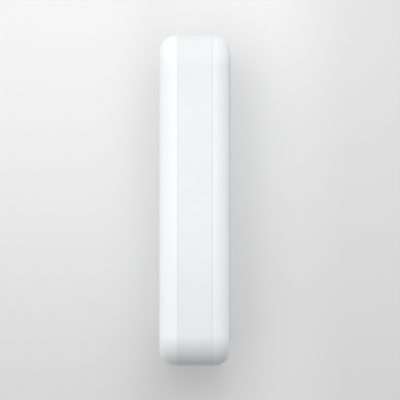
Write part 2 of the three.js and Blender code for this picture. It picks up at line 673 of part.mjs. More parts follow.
const pairingBack = recessFloor + pairing.proud;
const pairingFlangeBack = floorInside - gap;
const pairingFront = pairingFlangeBack - 0.8;
const switchBack = pairingFront - 0.9;
add("pairing_button", turned([
  [0, pairingBack], [pairing.radius - 0.4, pairingBack], [pairing.radius, pairingBack - 0.4],
  [pairing.radius, pairingFlangeBack], [pairing.flange, pairingFlangeBack], [pairing.flange, pairingFront],
  [1.2, pairingFront], [1.2, pairingFront - 0.3], [0, pairingFront - 0.3],
], 0, pairing.z), "silicone");
add("pairing_switch", blockAt(0, pairing.z, 2.6, 2.6, powerBack + touch, switchBack - 0.4)
  .add(bar(1.1, switchBack - 1, switchBack, 0, pairing.z, 12)), "tinned");

for (const { name, x, z } of corners) {
  const seat = recessFloor - caseScrew.headHeight - 2 * gap + touch;
  const headBack = seat + caseScrew.headHeight;
  const bladeHalf = 0.3;
  add("case_screw_" + name, turned([
    [0, headBack], [caseScrew.head - 0.4, headBack], [caseScrew.head, headBack - 0.4], [caseScrew.head, seat],
    [caseScrew.radius, seat], [caseScrew.radius, seat - caseScrew.length], [0, seat - caseScrew.length],
  ], x, z, 12)
    .subtract(blockAt(x, z, bladeHalf, 1.3, headBack - 0.5, 0))
    .subtract(blockAt(x, z, 1.3, bladeHalf, headBack - 0.5, 0)), "steel");
}

add("rating_label", block(-10, 10, recessFloor + touch, recessFloor + touch + 0.15, 16, 36), "label");

// ---- Release latch and its spring

add("release_latch", block(-latch.half, latch.half, latch.y, latchBack, latchFoot, latchTop)
  .subtract(block(-latch.window, latch.window, latch.y - 1, latchBack + 1, hookSlot.low, latchNose)),
"innerPlastic");

class Coil extends THREE.Curve {
  getPoint(t, target = new THREE.Vector3()) {
    const angle = t * spring.turns * Math.PI * 2;
    const rise = t * (spring.length - 2 * spring.wire);
    return target.set(spring.coil * Math.cos(angle), spring.coil * Math.sin(angle), rise);
  }
}
const wireSection = new THREE.Shape().absarc(0, 0, spring.wire, 0, Math.PI * 2);
const coilSteps = Math.round(spring.turns * 8);
const coil = new THREE.ExtrudeGeometry(wireSection, {
  steps: coilSteps, extrudePath: new Coil(), bevelEnabled: false, curveSegments: 2,
});
add("latch_spring", solid(coil.translate(0, latch.y, latchTop + gap + spring.wire)), "steel");

export default doorbell;
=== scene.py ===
# A slim white video doorbell on its wall bracket, seen from its side.
# Sizes in the dictionaries are in millimetres; everything in the scene is in metres.
import bmesh
import bpy
import json
import math
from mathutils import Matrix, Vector


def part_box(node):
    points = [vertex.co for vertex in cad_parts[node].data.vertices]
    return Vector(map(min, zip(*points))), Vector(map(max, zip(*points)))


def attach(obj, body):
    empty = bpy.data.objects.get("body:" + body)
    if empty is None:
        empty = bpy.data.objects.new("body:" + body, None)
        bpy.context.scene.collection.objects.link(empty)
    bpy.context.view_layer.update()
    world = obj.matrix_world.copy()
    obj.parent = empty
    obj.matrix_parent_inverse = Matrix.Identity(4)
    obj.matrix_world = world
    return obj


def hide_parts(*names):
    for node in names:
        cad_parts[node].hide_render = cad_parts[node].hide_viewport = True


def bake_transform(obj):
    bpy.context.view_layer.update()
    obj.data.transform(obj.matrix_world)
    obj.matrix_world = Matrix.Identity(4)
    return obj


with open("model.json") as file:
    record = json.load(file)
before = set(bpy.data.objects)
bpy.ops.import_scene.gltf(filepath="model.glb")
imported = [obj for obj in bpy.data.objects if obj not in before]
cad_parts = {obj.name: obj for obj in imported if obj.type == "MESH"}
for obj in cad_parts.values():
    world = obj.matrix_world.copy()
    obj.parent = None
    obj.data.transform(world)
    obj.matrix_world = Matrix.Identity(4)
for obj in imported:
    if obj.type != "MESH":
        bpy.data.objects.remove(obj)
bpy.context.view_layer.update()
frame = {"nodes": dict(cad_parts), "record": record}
nodes = frame["nodes"]
mm = 0.001
quarter = math.pi / 2
print("frame loaded:", len(nodes), "nodes")


# small steps in object and edit mode

def selectNothing():
    if bpy.context.object and bpy.context.object.mode == "EDIT":
        bpy.ops.object.mode_set(mode="OBJECT")
    bpy.ops.object.select_all(action="DESELECT")


def makeActive(piece):
    selectNothing()
    piece.select_set(True)
    bpy.context.view_layer.objects.active = piece


def startEdit(piece, pickType="FACE"):
    makeActive(piece)
    bpy.ops.object.mode_set(mode="EDIT")
    bpy.ops.mesh.select_mode(type=pickType)
    bpy.ops.mesh.select_all(action="DESELECT")


def endEdit():
    bpy.ops.object.mode_set(mode="OBJECT")


# faces whose middle and normal pass the test
def pickFaces(piece, test):
    bpy.ops.mesh.select_mode(type="FACE")
    bpy.ops.mesh.select_all(action="DESELECT")
    cage = bmesh.from_edit_mesh(piece.data)
    for face in cage.faces:
        if test(face.calc_center_median(), face.normal):
            face.select_set(True)
    bmesh.update_edit_mesh(piece.data)


# edges whose two ends pass the test, where the faces beside them meet at a clear angle
def pickEdges(piece, test, sharperThan=30):
    bpy.ops.mesh.select_mode(type="EDGE")
    bpy.ops.mesh.select_all(action="DESELECT")
    cage = bmesh.from_edit_mesh(piece.data)
    for edge in cage.edges:
        sharp = len(edge.link_faces) == 2 and edge.calc_face_angle(0) > math.radians(sharperThan)
        if sharp and test(edge.verts[0].co, edge.verts[1].co):
            edge.select_set(True)
    bmesh.update_edit_mesh(piece.data)


def applyPlace(piece):
    makeActive(piece)
    bpy.ops.object.transform_apply(location=True, rotation=True, scale=True)


# a cut leaves slivers, which would mislead the next one
def mergeSlivers(piece, nearer=0.0022):
    startEdit(piece)
    bpy.ops.mesh.select_all(action="SELECT")
    bpy.ops.mesh.remove_doubles(threshold=nearer * mm)
    endEdit()


def carve(piece, cutter, how="DIFFERENCE"):
    makeActive(piece)
    cut = piece.modifiers.new("carve", "BOOLEAN")
    cut.operation = how
    cut.solver = "EXACT"
    cut.object = cutter
    bpy.ops.object.modifier_apply(modifier=cut.name)
    bpy.data.objects.remove(cutter)
    mergeSlivers(piece)


# smooth shading that keeps the flat faces flat
def smooth(piece, angle=38):
    mergeSlivers(piece)
    bpy.ops.object.shade_smooth_by_angle(angle=math.radians(angle))
    weighted = piece.modifiers.new("weighted", "WEIGHTED_NORMAL")
    weighted.keep_sharp = True
    bpy.ops.object.modifier_apply(modifier=weighted.name)


# the three ways the pieces are made

# a rounded panel that stands up in X and Z, from its back (larger Y) to its front,
# with each end rolled over by (depth, inset) if a roll is given
def panel(name, halfX, halfZ, corner, back, front, backRoll=None, frontRoll=None, at=(0, 0), cuts=18, rollCuts=12):
    selectNothing()
    backFlat = back - (backRoll[0] if backRoll else 0)
    frontFlat = front + (frontRoll[0] if frontRoll else 0)
    bpy.ops.mesh.primitive_plane_add(size=2, rotation=(quarter, 0, 0), location=(at[0] * mm, backFlat * mm, at[1] * mm))
    piece = bpy.context.object
    piece.name = name
    piece.scale = (halfX * mm, halfZ * mm, 1)
    applyPlace(piece)
    startEdit(piece)
    bpy.ops.mesh.select_all(action="SELECT")
    bpy.ops.mesh.bevel(offset=corner * mm, segments=cuts, affect="VERTICES")
    bpy.ops.mesh.select_all(action="SELECT")
    bpy.ops.mesh.remove_doubles(threshold=0.005 * mm)
    bpy.ops.mesh.select_all(action="SELECT")
    bpy.ops.mesh.extrude_region_move(TRANSFORM_OT_translate={"value": (0, (frontFlat - backFlat) * mm, 0)})
    if frontRoll:
        rollOver(frontRoll, rollCuts)
    if backRoll:
        pickFaces(piece, lambda middle, normal: normal.y > 0.9)
        rollOver(backRoll, rollCuts)
    endEdit()
    return piece


# the selected face drawn in and pushed out along a quarter of an ellipse
def rollOver(roll, cuts):
    deep, inset = roll[0] * mm, roll[1] * mm
    for step in range(cuts):
        here, there = quarter * step / cuts, quarter * (step + 1) / cuts
        bpy.ops.mesh.inset(
            thickness=inset * (math.cos(here) - math.cos(there)),
            depth=deep * (math.sin(there) - math.sin(here)),
            use_even_offset=True,
        )


# a profile of (radius, y) points turned about a line along Y; it ends on the axis or where it began
def turned(name, profile, at=(0, 0), cuts=72):
    selectNothing()
    bpy.ops.mesh.primitive_plane_add(size=mm)
    piece = bpy.context.object
    piece.name = name
    startEdit(piece, "VERT")
    cage = bmesh.from_edit_mesh(piece.data)
    cage.verts.ensure_lookup_table()
    for spare in cage.verts[1:]:
        spare.select_set(True)
    bmesh.update_edit_mesh(piece.data)
    bpy.ops.mesh.delete(type="VERT")
    cage = bmesh.from_edit_mesh(piece.data)
    cage.verts.ensure_lookup_table()
    cage.verts[0].co = Vector((profile[0][0] + at[0], profile[0][1], at[1])) * mm
    cage.verts[0].select_set(True)
    bmesh.update_edit_mesh(piece.data)
    for (fromRadius, fromY), (toRadius, toY) in zip(profile, profile[1:]):
        move = Vector((toRadius - fromRadius, toY - fromY, 0)) * mm
        bpy.ops.mesh.extrude_region_move(TRANSFORM_OT_translate={"value": move})
    bpy.ops.mesh.select_all(action="SELECT")
    bpy.ops.mesh.spin(steps=cuts, angle=2 * math.pi, center=(at[0] * mm, 0, at[1] * mm), axis=(0, 1, 0))
    bpy.ops.mesh.select_all(action="SELECT")
    bpy.ops.mesh.remove_doubles(threshold=0.002 * mm)
    bpy.ops.mesh.normals_make_consistent(inside=False)
    endEdit()
    return piece


# a straight-sided block between two corners
def block(name, low, high):
    selectNothing()
    middle = [(a + b) / 2 * mm for a, b in zip(low, high)]
    bpy.ops.mesh.primitive_cube_add(size=1, location=middle)
    piece = bpy.context.object
    piece.name = name
    piece.scale = [(b - a) * mm for a, b in zip(low, high)]
    applyPlace(piece)
    return piece


# a quarter round for a turned profile, from one angle to another about a centre (radius, y)
def arc(centre, size, start, end, cuts=5):
    points = []
    for step in range(cuts + 1):
        angle = math.radians(start + (end - start) * step / cuts)
        points.append((centre[0] + size * math.cos(angle), centre[1] + size * math.sin(angle)))
    return points


# a bevel on the picked edges
def roundEdges(piece, test, size, cuts=3, sharperThan=30):
    startEdit(piece, "EDGE")
    pickEdges(piece, test, sharperThan)
    bpy.ops.mesh.bevel(offset=size * mm, segments=cuts, affect="EDGES", clamp_overlap=True)
    endEdit()


# places that the frame gives, in millimetres
def edges(node):
    low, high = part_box(node)
    return [v / mm for v in low], [v / mm for v in high]


coverLow, coverHigh = edges("front_cover")
midLow, midHigh = edges("mid_frame")
rearHigh = edges("rear_cover")[1]
sideHalf, topHalf = coverHigh[0], coverHigh[2]
frontFace, rearRim = coverLow[1], rearHigh[1]

housing = {
    "corner": 12.5,          # outline corner seen from the front
    "wall": 2.0,
    "frontRoll": (6.4, 5.6),
    "rearRoll": (6.4, 5.0),
    "seamClosing": 0.14,     # how much closer each cover comes to its seam than in the frame
    "frontSeamEdge": 0.07,
    "rearSeamEdge": 0.16,
}
coverBack = coverHigh[1] + housing["seamClosing"]
midFront = midLow[1] - housing["seamClosing"]
midBack = midHigh[1] + housing["seamClosing"]
rearFront = midHigh[1] + 0.3 - housing["seamClosing"]


# covers

# a closed band of the housing, cored out by the wall
def shell(name, back, front, backRoll, frontRoll, coreBack, coreFront, coreRoll=None):
    corner, wall = housing["corner"], housing["wall"]
    cover = panel(name, sideHalf, topHalf, corner, back, front, backRoll, frontRoll)
    core = panel("core", sideHalf - wall, topHalf - wall, corner - wall, coreBack, coreFront, None, coreRoll)
    carve(cover, core)
    return cover


wall = housing["wall"]
frontSeamRoll = (housing["frontSeamEdge"],) * 2
rearSeamRoll = (housing["rearSeamEdge"],) * 2
coreRoll = tuple(v - wall for v in housing["frontRoll"])
frontCover = shell("frontCover", coverBack, frontFace, frontSeamRoll, housing["frontRoll"],
                   coverBack + 1, frontFace + wall, coreRoll)
midFrame = shell("midFrame", midBack, midFront, rearSeamRoll, frontSeamRoll, midBack + 1, midFront - 1)
rearCover = shell("rearCover", rearRim, rearFront, housing["rearRoll"], rearSeamRoll, -5.0, rearFront - 1)
print("covers cored")


# how far a point lies outside a rounded outline, in millimetres
def outlineGap(point, halfX, halfZ, corner, at=(0, 0)):
    across = abs(point.x / mm - at[0]) - (halfX - corner)
    along = abs(point.z / mm - at[1]) - (halfZ - corner)
    return math.hypot(max(across, 0), max(along, 0)) + min(max(across, along), 0) - corner


# softens the edge where an outline meets a plane across Y
def softenOutline(piece, y, size, halfX, halfZ, corner, at=(0, 0), cuts=3):
    def onIt(*ends):
        return all(abs(p.y / mm - y) < 0.02 and abs(outlineGap(p, halfX, halfZ, corner, at)) < 0.04 for p in ends)
    roundEdges(piece, onIt, size, cuts)


# a cutter for a round hole whose mouth at y is softened; depth runs away from the mouth
def holeCutter(radius, mouth, floor, at, soften=0.2, cuts=64):
    side = 1 if floor > mouth else -1
    lip = [
        (radius + soften - soften * math.cos(math.radians(a)), mouth + side * soften * (1 - math.sin(math.radians(a))))
        for a in (0, 22.5, 45, 67.5, 90)
    ]
    end = (radius + soften, mouth - side)
    return turned("cutter", [(0, floor), (radius, floor), *lip, end, (0, mouth - side)], at, cuts)


front = {
    "window": {"halfX": 15, "halfZ": 22, "corner": 15, "at": (0, 33), "sunk": 0.2, "thick": 1.4, "play": 0.3},
    "lens": {"at": (0, 38), "bore": 8.6},
    "leds": {"x": 8.5, "z": 21.5, "radius": 2.3},
    "sensor": {"z": 18, "half": 1.8},
    "motion": {"halfX": 8, "halfZ": 5, "corner": 4, "at": (0, 2), "flange": 1.3,
               "facets": {"columns": (-6, -4, -2, 0, 2, 4, 6), "rows": (-3.3, -1.1, 1.1, 3.3), "rise": 0.24}},
    "microphone": {"at": (0, -13), "radius": 0.6, "soften": 0.35},
    "button": {"at": (0, -36), "radius": 12, "ring": 14.5, "flange": 16, "play": 0.3},
    "edge": 0.22,
}


def grown(shape, by):
    wider = {key: shape[key] + by for key in ("halfX", "halfZ", "corner")}
    return {**wider, "at": shape["at"]}


# the openings in the front cover, with the ledge behind the camera window
def openFront(cover):
    window, button, motion = front["window"], front["button"], front["motion"]
    floor = frontFace + window["sunk"] + window["thick"] + 0.05
    ledge = grown(window, 2)
    carve(cover, panel("ledge", back=floor + 2, front=frontFace + wall - 0.4, **ledge), "UNION")
    pocket = grown(window, window["play"])
    carve(cover, panel("cutter", back=floor, front=frontFace - 1, **pocket))
    carve(cover, holeCutter(front["lens"]["bore"], floor, floor + 3, front["lens"]["at"], 0.1))
    for x in (-front["leds"]["x"], front["leds"]["x"]):
        carve(cover, holeCutter(front["leds"]["radius"], floor, floor + 3, (x, front["leds"]["z"]), 0.3, 32))
    half, z = front["sensor"]["half"], front["sensor"]["z"]
    carve(cover, block("cutter", (-half, floor - 1, z - half), (half, floor + 3, z + half)))
    slot = grown(motion, 0.3)
    carve(cover, panel("cutter", back=frontFace + 4, front=frontFace - 1, **slot))
    carve(cover, holeCutter(button["ring"] + button["play"], frontFace, frontFace + 4, button["at"], front["edge"], 96))
    carve(cover, holeCutter(button["flange"] + 0.3, frontFace + wall, frontFace + wall + 6, button["at"], 0.01, 96))
    hole = front["microphone"]
    carve(cover, holeCutter(hole["radius"], frontFace, frontFace + 4, hole["at"], hole["soften"], 32))
    softenOutline(cover, frontFace, front["edge"], **pocket)
    softenOutline(cover, frontFace, front["edge"], **slot)


openFront(frontCover)
print("front cover opened")

rear = {
    "recess": {"halfX": 16, "halfZ": 57.25, "corner": 5.5, "at": (0, 1.25)},
    "floor": -3.4,
    "pocket": {"x": 6, "half": 3.8, "low": -3.15, "high": -0.85, "top": 60.9},
    "hook": {"half": 6.5, "low": -52.3, "high": -46.8},
    "screws": {"x": 13, "z": 51.5, "head": 2.3, "depth": 1.9, "bore": 1.3},
    "terminals": {"x": 6, "z": -27, "hole": 1.9},
    "pairing": {"z": -13, "hole": 2.7},
    "pin": {"y": -6.1, "radius": 0.8},
    "edge": 0.4,
}


# the recess for the bracket, and what goes through its floor
def openRear(cover):
    recess, floor = rear["recess"], rear["floor"]
    carve(cover, panel("cutter", back=1, front=floor, **recess))
    pocket = rear["pocket"]
    top = recess["at"][1] + recess["halfZ"]
    for x in (-pocket["x"], pocket["x"]):
        low, high = (x - pocket["half"], pocket["low"], top - 1), (x + pocket["half"], pocket["high"], pocket["top"])
        carve(cover, block("cutter", low, high))
    hook = rear["hook"]
    carve(cover, block("cutter", (-hook["half"], -9, hook["low"]), (hook["half"], floor + 1, hook["high"])))
    screws = rear["screws"]
    for x in (-screws["x"], screws["x"]):
        for z in (-screws["z"], screws["z"]):
            carve(cover, holeCutter(screws["head"], floor, floor - screws["depth"], (x, z), 0.15, 40))
            carve(cover, holeCutter(screws["bore"], floor - screws["depth"], -9, (x, z), 0.01, 24))
    for x in (-rear["terminals"]["x"], rear["terminals"]["x"]):
        carve(cover, holeCutter(rear["terminals"]["hole"], floor, -9, (x, rear["terminals"]["z"]), 0.1, 32))
    carve(cover, holeCutter(rear["pairing"]["hole"], floor, -9, (0, rear["pairing"]["z"]), 0.25, 48))
    softenOutline(cover, rearRim, rear["edge"], **recess)
    pin = turned("cutter", [(0, -3), (rear["pin"]["radius"], -3), (rear["pin"]["radius"], 3), (0, 3)], cuts=32)
    pin.rotation_euler = (quarter, 0, 0)
    pin.location = (0, rear["pin"]["y"] * mm, -topHalf * mm)
    applyPlace(pin)
    carve(cover, pin)


openRear(rearCover)
print("rear cover opened")

sides = {
    "slots": {"count": 6, "pitch": 4, "z": -35, "y": -11.45, "half": 0.7, "long": 2.8, "flare": 0.25},
    "charge": {"y": -12.05, "seatX": 7.5, "seatY": 3.8, "floor": -64.45, "portX": 4.75, "portY": 1.9},
}


# turns a piece made to face the front so that it faces down, or to the left
def faceDown(piece):
    piece.rotation_euler = (quarter, 0, 0)
    applyPlace(piece)
    return piece


def faceLeft(piece):
    piece.rotation_euler = (0, 0, -quarter)
    applyPlace(piece)
    return piece


# the speaker slots in the left wall and the seat of the charging flap below
def openMiddle(frameBand):
    slots, charge = sides["slots"], sides["charge"]
    for index in range(slots["count"]):
        z = slots["z"] + (index - (slots["count"] - 1) / 2) * slots["pitch"]
        shape = {"halfX": slots["long"], "halfZ": slots["half"], "corner": slots["half"], "at": (-slots["y"], z)}
        cutter = panel("cutter", back=-sideHalf + 3, front=-sideHalf - 1, cuts=8, **shape)
        carve(frameBand, faceLeft(cutter))
    seat = {"halfX": charge["seatX"], "halfZ": charge["seatY"], "corner": charge["seatY"], "at": (0, -charge["y"])}
    carve(frameBand, faceDown(panel("cutter", back=charge["floor"], front=-topHalf - 1, **seat)))
    square = block("cutter", (0, charge["y"] - charge["seatY"], -topHalf - 1),
                   (charge["seatX"], charge["y"] + charge["seatY"], charge["floor"]))
    carve(frameBand, square)
    port = {"halfX": charge["portX"], "halfZ": charge["portY"],
            "corner": charge["portY"] - 0.01, "at": (0, -charge["y"])}
    carve(frameBand, faceDown(panel("cutter", back=-topHalf + 3, front=-topHalf - 1, **port)))

    def slotRim(*ends):
        return all(abs(p.x / mm + sideHalf) < 0.02 and abs(p.y / mm - slots["y"]) < slots["long"] + 0.1
                   and -50 < p.z / mm < -20 for p in ends)

    def seatRim(*ends):
        return all(abs(p.z / mm + topHalf) < 0.02 and abs(p.x / mm) < charge["seatX"] + 0.02 for p in ends)
    roundEdges(frameBand, slotRim, slots["flare"], 2)
    roundEdges(frameBand, seatRim, 0.15, 2)


openMiddle(midFrame)
print("mid frame opened")


# the spring over the release latch; the real one shortens as the latch is pressed, this one is wound once to fill its
# box in the frame
coilSpring = {"turns": 4.5, "wire": 0.25, "cuts": 16, "wireCuts": 8}


def makeSpring():
    low, high = edges("latch_spring")
    wire = coilSpring["wire"]
    middleX, middleY = (low[0] + high[0]) / 2, (low[1] + high[1]) / 2
    coilRadius = (high[0] - low[0]) / 2 - wire
    rise = high[2] - low[2] - 2 * wire
    selectNothing()
    bpy.ops.mesh.primitive_circle_add(vertices=coilSpring["wireCuts"], radius=wire * mm, rotation=(quarter, 0, 0),
                                      location=(coilRadius * mm, 0, 0))
    spring = bpy.context.object
    spring.name = "latchSpring"
    bpy.ops.object.transform_apply(location=True, rotation=True, scale=True)
    wind = spring.modifiers.new("wind", "SCREW")
    wind.angle = 2 * math.pi * coilSpring["turns"]
    wind.screw_offset = rise * mm
    wind.steps = wind.render_steps = int(coilSpring["cuts"] * coilSpring["turns"])
    bpy.ops.object.modifier_apply(modifier=wind.name)
    startEdit(spring, "EDGE")
    bpy.ops.mesh.select_non_manifold()
    bpy.ops.mesh.fill_holes(sides=0)
    bpy.ops.mesh.select_all(action="SELECT")
    bpy.ops.mesh.normals_make_consistent(inside=False)
    endEdit()
    spring.location = (middleX * mm, middleY * mm, (low[2] + wire) * mm)
    applyPlace(spring)
    return spring, low, high


latchSpring, springLow, springHigh = makeSpring()
print("latch spring wound")


# pieces in the front face

# the smoked pane, with its hole for the lens trim
def makeWindow():
    window = front["window"]
    back = frontFace + window["sunk"] + window["thick"]
    shape = {k: window[k] for k in ("halfX", "halfZ", "corner", "at")}
    pane = panel("cameraWindow", back=back, front=frontFace + window["sunk"],
                 frontRoll=(0.3, 0.35), rollCuts=5, cuts=30, **shape)
    carve(pane, holeCutter(front["lens"]["bore"], frontFace + window["sunk"], back + 1, front["lens"]["at"], 0.12, 96))
    return pane


lens = {
    "trim": {"outer": 8.3, "inner": 6.3, "front": -27.9, "back": -24.65, "edge": 0.28},
    "glass": {"radius": 4.7, "front": -27.1, "edge": -25.85, "back": -24.9},
    "barrel": {"radius": 6.0, "bore": 3.0, "front": -26.1, "back": -22.2},
}


# a trim ring whose inner flare steps down to the lens
def makeTrim():
    trim = lens["trim"]
    outer, inner, lip, edge = trim["outer"], trim["inner"], trim["front"], trim["edge"]
    profile = [(inner, trim["back"]), (outer, trim["back"])]
    profile += arc((outer - edge, lip + edge), edge, 0, -90)
    profile += arc((inner + 1.15, lip + 0.18), 0.18, -90, -160, 3)
    steps = 4
    for step in range(steps):
        radius = inner + 0.95 - step * 0.95 / steps
        y = lip + 0.45 + step * 0.42
        profile += [(radius, y), (radius - 0.95 / steps * 0.55, y + 0.06)]
    profile += [(inner, trim["back"])]
    return turned("lensTrimRing", profile, front["lens"]["at"], 96)


# a domed front element with a ground edge
def makeLens():
    glass = lens["glass"]
    radius, rise = glass["radius"], glass["edge"] - glass["front"]
    bend = (radius * radius + rise * rise) / (2 * rise)
    dome = []
    for step in range(11):
        r = radius * step / 10
        dome.append((r, glass["front"] + bend - math.sqrt(bend * bend - r * r)))
    hollow = []
    for step in range(9):
        r = 3.4 * (1 - step / 8)
        hollow.append((r, glass["back"] - 0.25 * (1 - (r / 3.4) ** 2)))
    return turned("frontLens", dome + [(radius, glass["back"])] + hollow, front["lens"]["at"], 72)


def makeBarrel():
    barrel = lens["barrel"]
    radius, bore, lip = barrel["radius"], barrel["bore"], barrel["front"]
    profile = [(bore, barrel["back"]), (radius - 0.2, barrel["back"]),
               (radius, barrel["back"] - 0.2), (radius, lip + 0.15)]
    profile += [(radius - 0.15, lip), (5.15, lip), (5.0, lip + 0.15), (5.0, -24.6), (4.6, -24.6), (4.4, -24.35)]
    for step in range(4):
        y = -24.3 + step * 0.42
        profile += [(bore + 0.75 - step * 0.15, y), (bore + 0.3, y + 0.2)]
    profile += [(bore, barrel["back"] - 0.2), (bore, barrel["back"])]
    return turned("lensBarrel", profile, front["lens"]["at"], 72)


# the milky motion window: a flange behind the wall and a field of small lens facets in front
def makeMotion():
    motion = front["motion"]
    shape = {k: motion[k] for k in ("halfX", "halfZ", "corner", "at")}
    dome = panel("pirLens", back=frontFace + 2.85, front=frontFace + 0.32,
                 frontRoll=(0.5, 0.6), cuts=10, rollCuts=5, **shape)

    def flatFront(middle, facing):
        return facing.y < -0.999 and middle.y / mm < frontFace + 0.33
    startEdit(dome)
    facets, z = motion["facets"], motion["at"][1]
    cuts = [((x, 0, 0), (1, 0, 0)) for x in facets["columns"]] + [((0, 0, z + v), (0, 0, 1)) for v in facets["rows"]]
    for place, normal in cuts:
        pickFaces(dome, flatFront)
        bpy.ops.mesh.bisect(plane_co=[v * mm for v in place], plane_no=normal)
    halfX, halfZ = facets["columns"][-1], facets["rows"][-1]
    pickFaces(dome, lambda middle, facing: flatFront(middle, facing)
              and abs(middle.x / mm) < halfX and abs(middle.z / mm - z) < halfZ)
    bpy.ops.mesh.inset(use_individual=True, thickness=0.1 * mm, depth=0)
    for step in range(4):
        here, there = quarter * step / 4, quarter * (step + 1) / 4
        bpy.ops.mesh.inset(use_individual=True, thickness=0.75 * mm * (math.cos(here) - math.cos(there)),
                           depth=facets["rise"] * mm * (math.sin(there) - math.sin(here)))
    endEdit()
    flange = panel("flange", back=frontFace + 2.85, front=frontFace + 2.05, cuts=10, **grown(motion, motion["flange"]))
    carve(dome, flange, "UNION")
    return dome


pushButton = {"dish": 0.7, "edge": 0.5, "proud": 0.1, "groove": 9.4}


# a dished cap with a fine groove round it, on its stem
def makeButton():
    radius, face = front["button"]["radius"], frontFace + pushButton["proud"]
    edge, dish, groove = pushButton["edge"], pushButton["dish"], pushButton["groove"]

    def depth(r):
        return face + dish * (1 - (r / (radius - edge)) ** 2)
    profile = [(0, -22.6), (1.8, -22.6), (2, -22.8), (2, -25.6), (radius - 0.2, -25.6), (radius, -25.8)]
    profile += arc((radius - edge, face + edge), edge, 0, -90, 6)
    for r in (11, 10.5, 10, groove + 0.25):
        profile.append((r, depth(r)))
    profile += [(groove + 0.08, depth(groove) + 0.16), (groove - 0.08, depth(groove) + 0.16),
                (groove - 0.25, depth(groove - 0.25))]
    for r in (8.4, 7.2, 6, 4.8, 3.6, 2.4, 1.2, 0):
        profile.append((r, depth(r)))
    return turned("buttonCap", profile, front["button"]["at"], 96)


def makeRing():
    inner, outer, flange = front["button"]["radius"] + 0.3, front["button"]["ring"], front["button"]["flange"]
    face, soft = frontFace + 0.2, 0.3
    profile = [(inner, -24.7), (flange, -24.7), (flange, -25.95), (outer, -25.95)]
    profile += arc((outer - soft, face + soft), soft, 0, -90) + arc((inner + soft, face + soft), soft, -90, -180)
    return turned("lightRing", profile + [(inner, -24.7)], front["button"]["at"], 96)


cameraWindow, lensTrimRing, frontLens, lensBarrel = makeWindow(), makeTrim(), makeLens(), makeBarrel()
pirLens, buttonCap, lightRing = makeMotion(), makeButton(), makeRing()
print("front face pieces turned")

flap = {
    "halfX": 7.2,
    "halfY": 3.5,
    "thick": 1.0,
    "hingeX": 6.7,
    "hingeZ": -65.0,
    "plugX": 4.0,
    "plugY": 1.2,
    "soft": 0.2,
}


# the rubber flap: a lozenge with a square hinge end, a plug and a scoop for a fingernail
def makeFlap():
    y, foot = sides["charge"]["y"], -topHalf
    back = foot + flap["thick"]
    body = faceDown(panel("usbFlap", flap["halfX"], flap["halfY"], flap["halfY"] - 0.01, back, foot,
                          at=(0, -y), cuts=14))
    carve(body, block("cutter", (flap["hingeX"], y - 5, foot - 1), (10, y + 5, back + 1)))
    carve(body, block("hingeEnd", (2, y - flap["halfY"], foot), (flap["hingeX"], y + flap["halfY"], back)), "UNION")
    half = flap["halfY"]
    hinge = turned("hinge", [(0, -half), (0.5, -half), (0.5, half), (0, half)], cuts=24)
    hinge.location = (flap["hingeX"] * mm, y * mm, flap["hingeZ"] * mm)
    applyPlace(hinge)
    carve(body, hinge, "UNION")
    plug = panel("plug", flap["plugX"], flap["plugY"], flap["plugY"] - 0.01, foot + 2, foot + 0.5,
                 (0.3, 0.3), at=(0, -y), cuts=8, rollCuts=3)
    carve(body, faceDown(plug), "UNION")
    selectNothing()
    bpy.ops.mesh.primitive_uv_sphere_add(segments=32, ring_count=16, radius=mm,
                                         location=(-5.3 * mm, y * mm, (foot - 0.5) * mm))
    scoop = bpy.context.object
    scoop.scale = (1.1, 2.2, 0.95)
    applyPlace(scoop)
    carve(body, scoop)
    roundEdges(body, lambda *ends: all(abs(p.z / mm - foot) < 0.01 and p.x / mm < flap["hingeX"] - 0.05
                                       for p in ends), flap["soft"], 3)
    return body


usbFlap = makeFlap()

bracket = {
    "plate": {"halfX": 15.6, "halfZ": 56.85, "corner": 5.1, "at": (0, 1.25)},
    "thick": 2.0,
    "tongues": {"x": 6, "half": 3.5, "low": 56.3, "top": 60.3, "front": -2.6, "back": -1.4},
    "hook": {"half": 5, "low": -50, "high": -48.6, "tip": -47.4, "reach": -8.6, "tipBack": -7.4},
    "slots": {"x": 8, "z": (42.5, -46.2), "radius": 2.1, "half": 4.7},
    "wires": {"halfX": 11, "halfZ": 14.5, "corner": 3, "at": (0, -23.5)},
    "pockets": (((0, 27), 11.5, 7.6), ((0, 8.5), 11.5, 7.6), ((0, 49.3), 3.6, 6.2), ((0, -46.4), 3.2, 4.6)),
    "pocketDepth": 0.9,
}


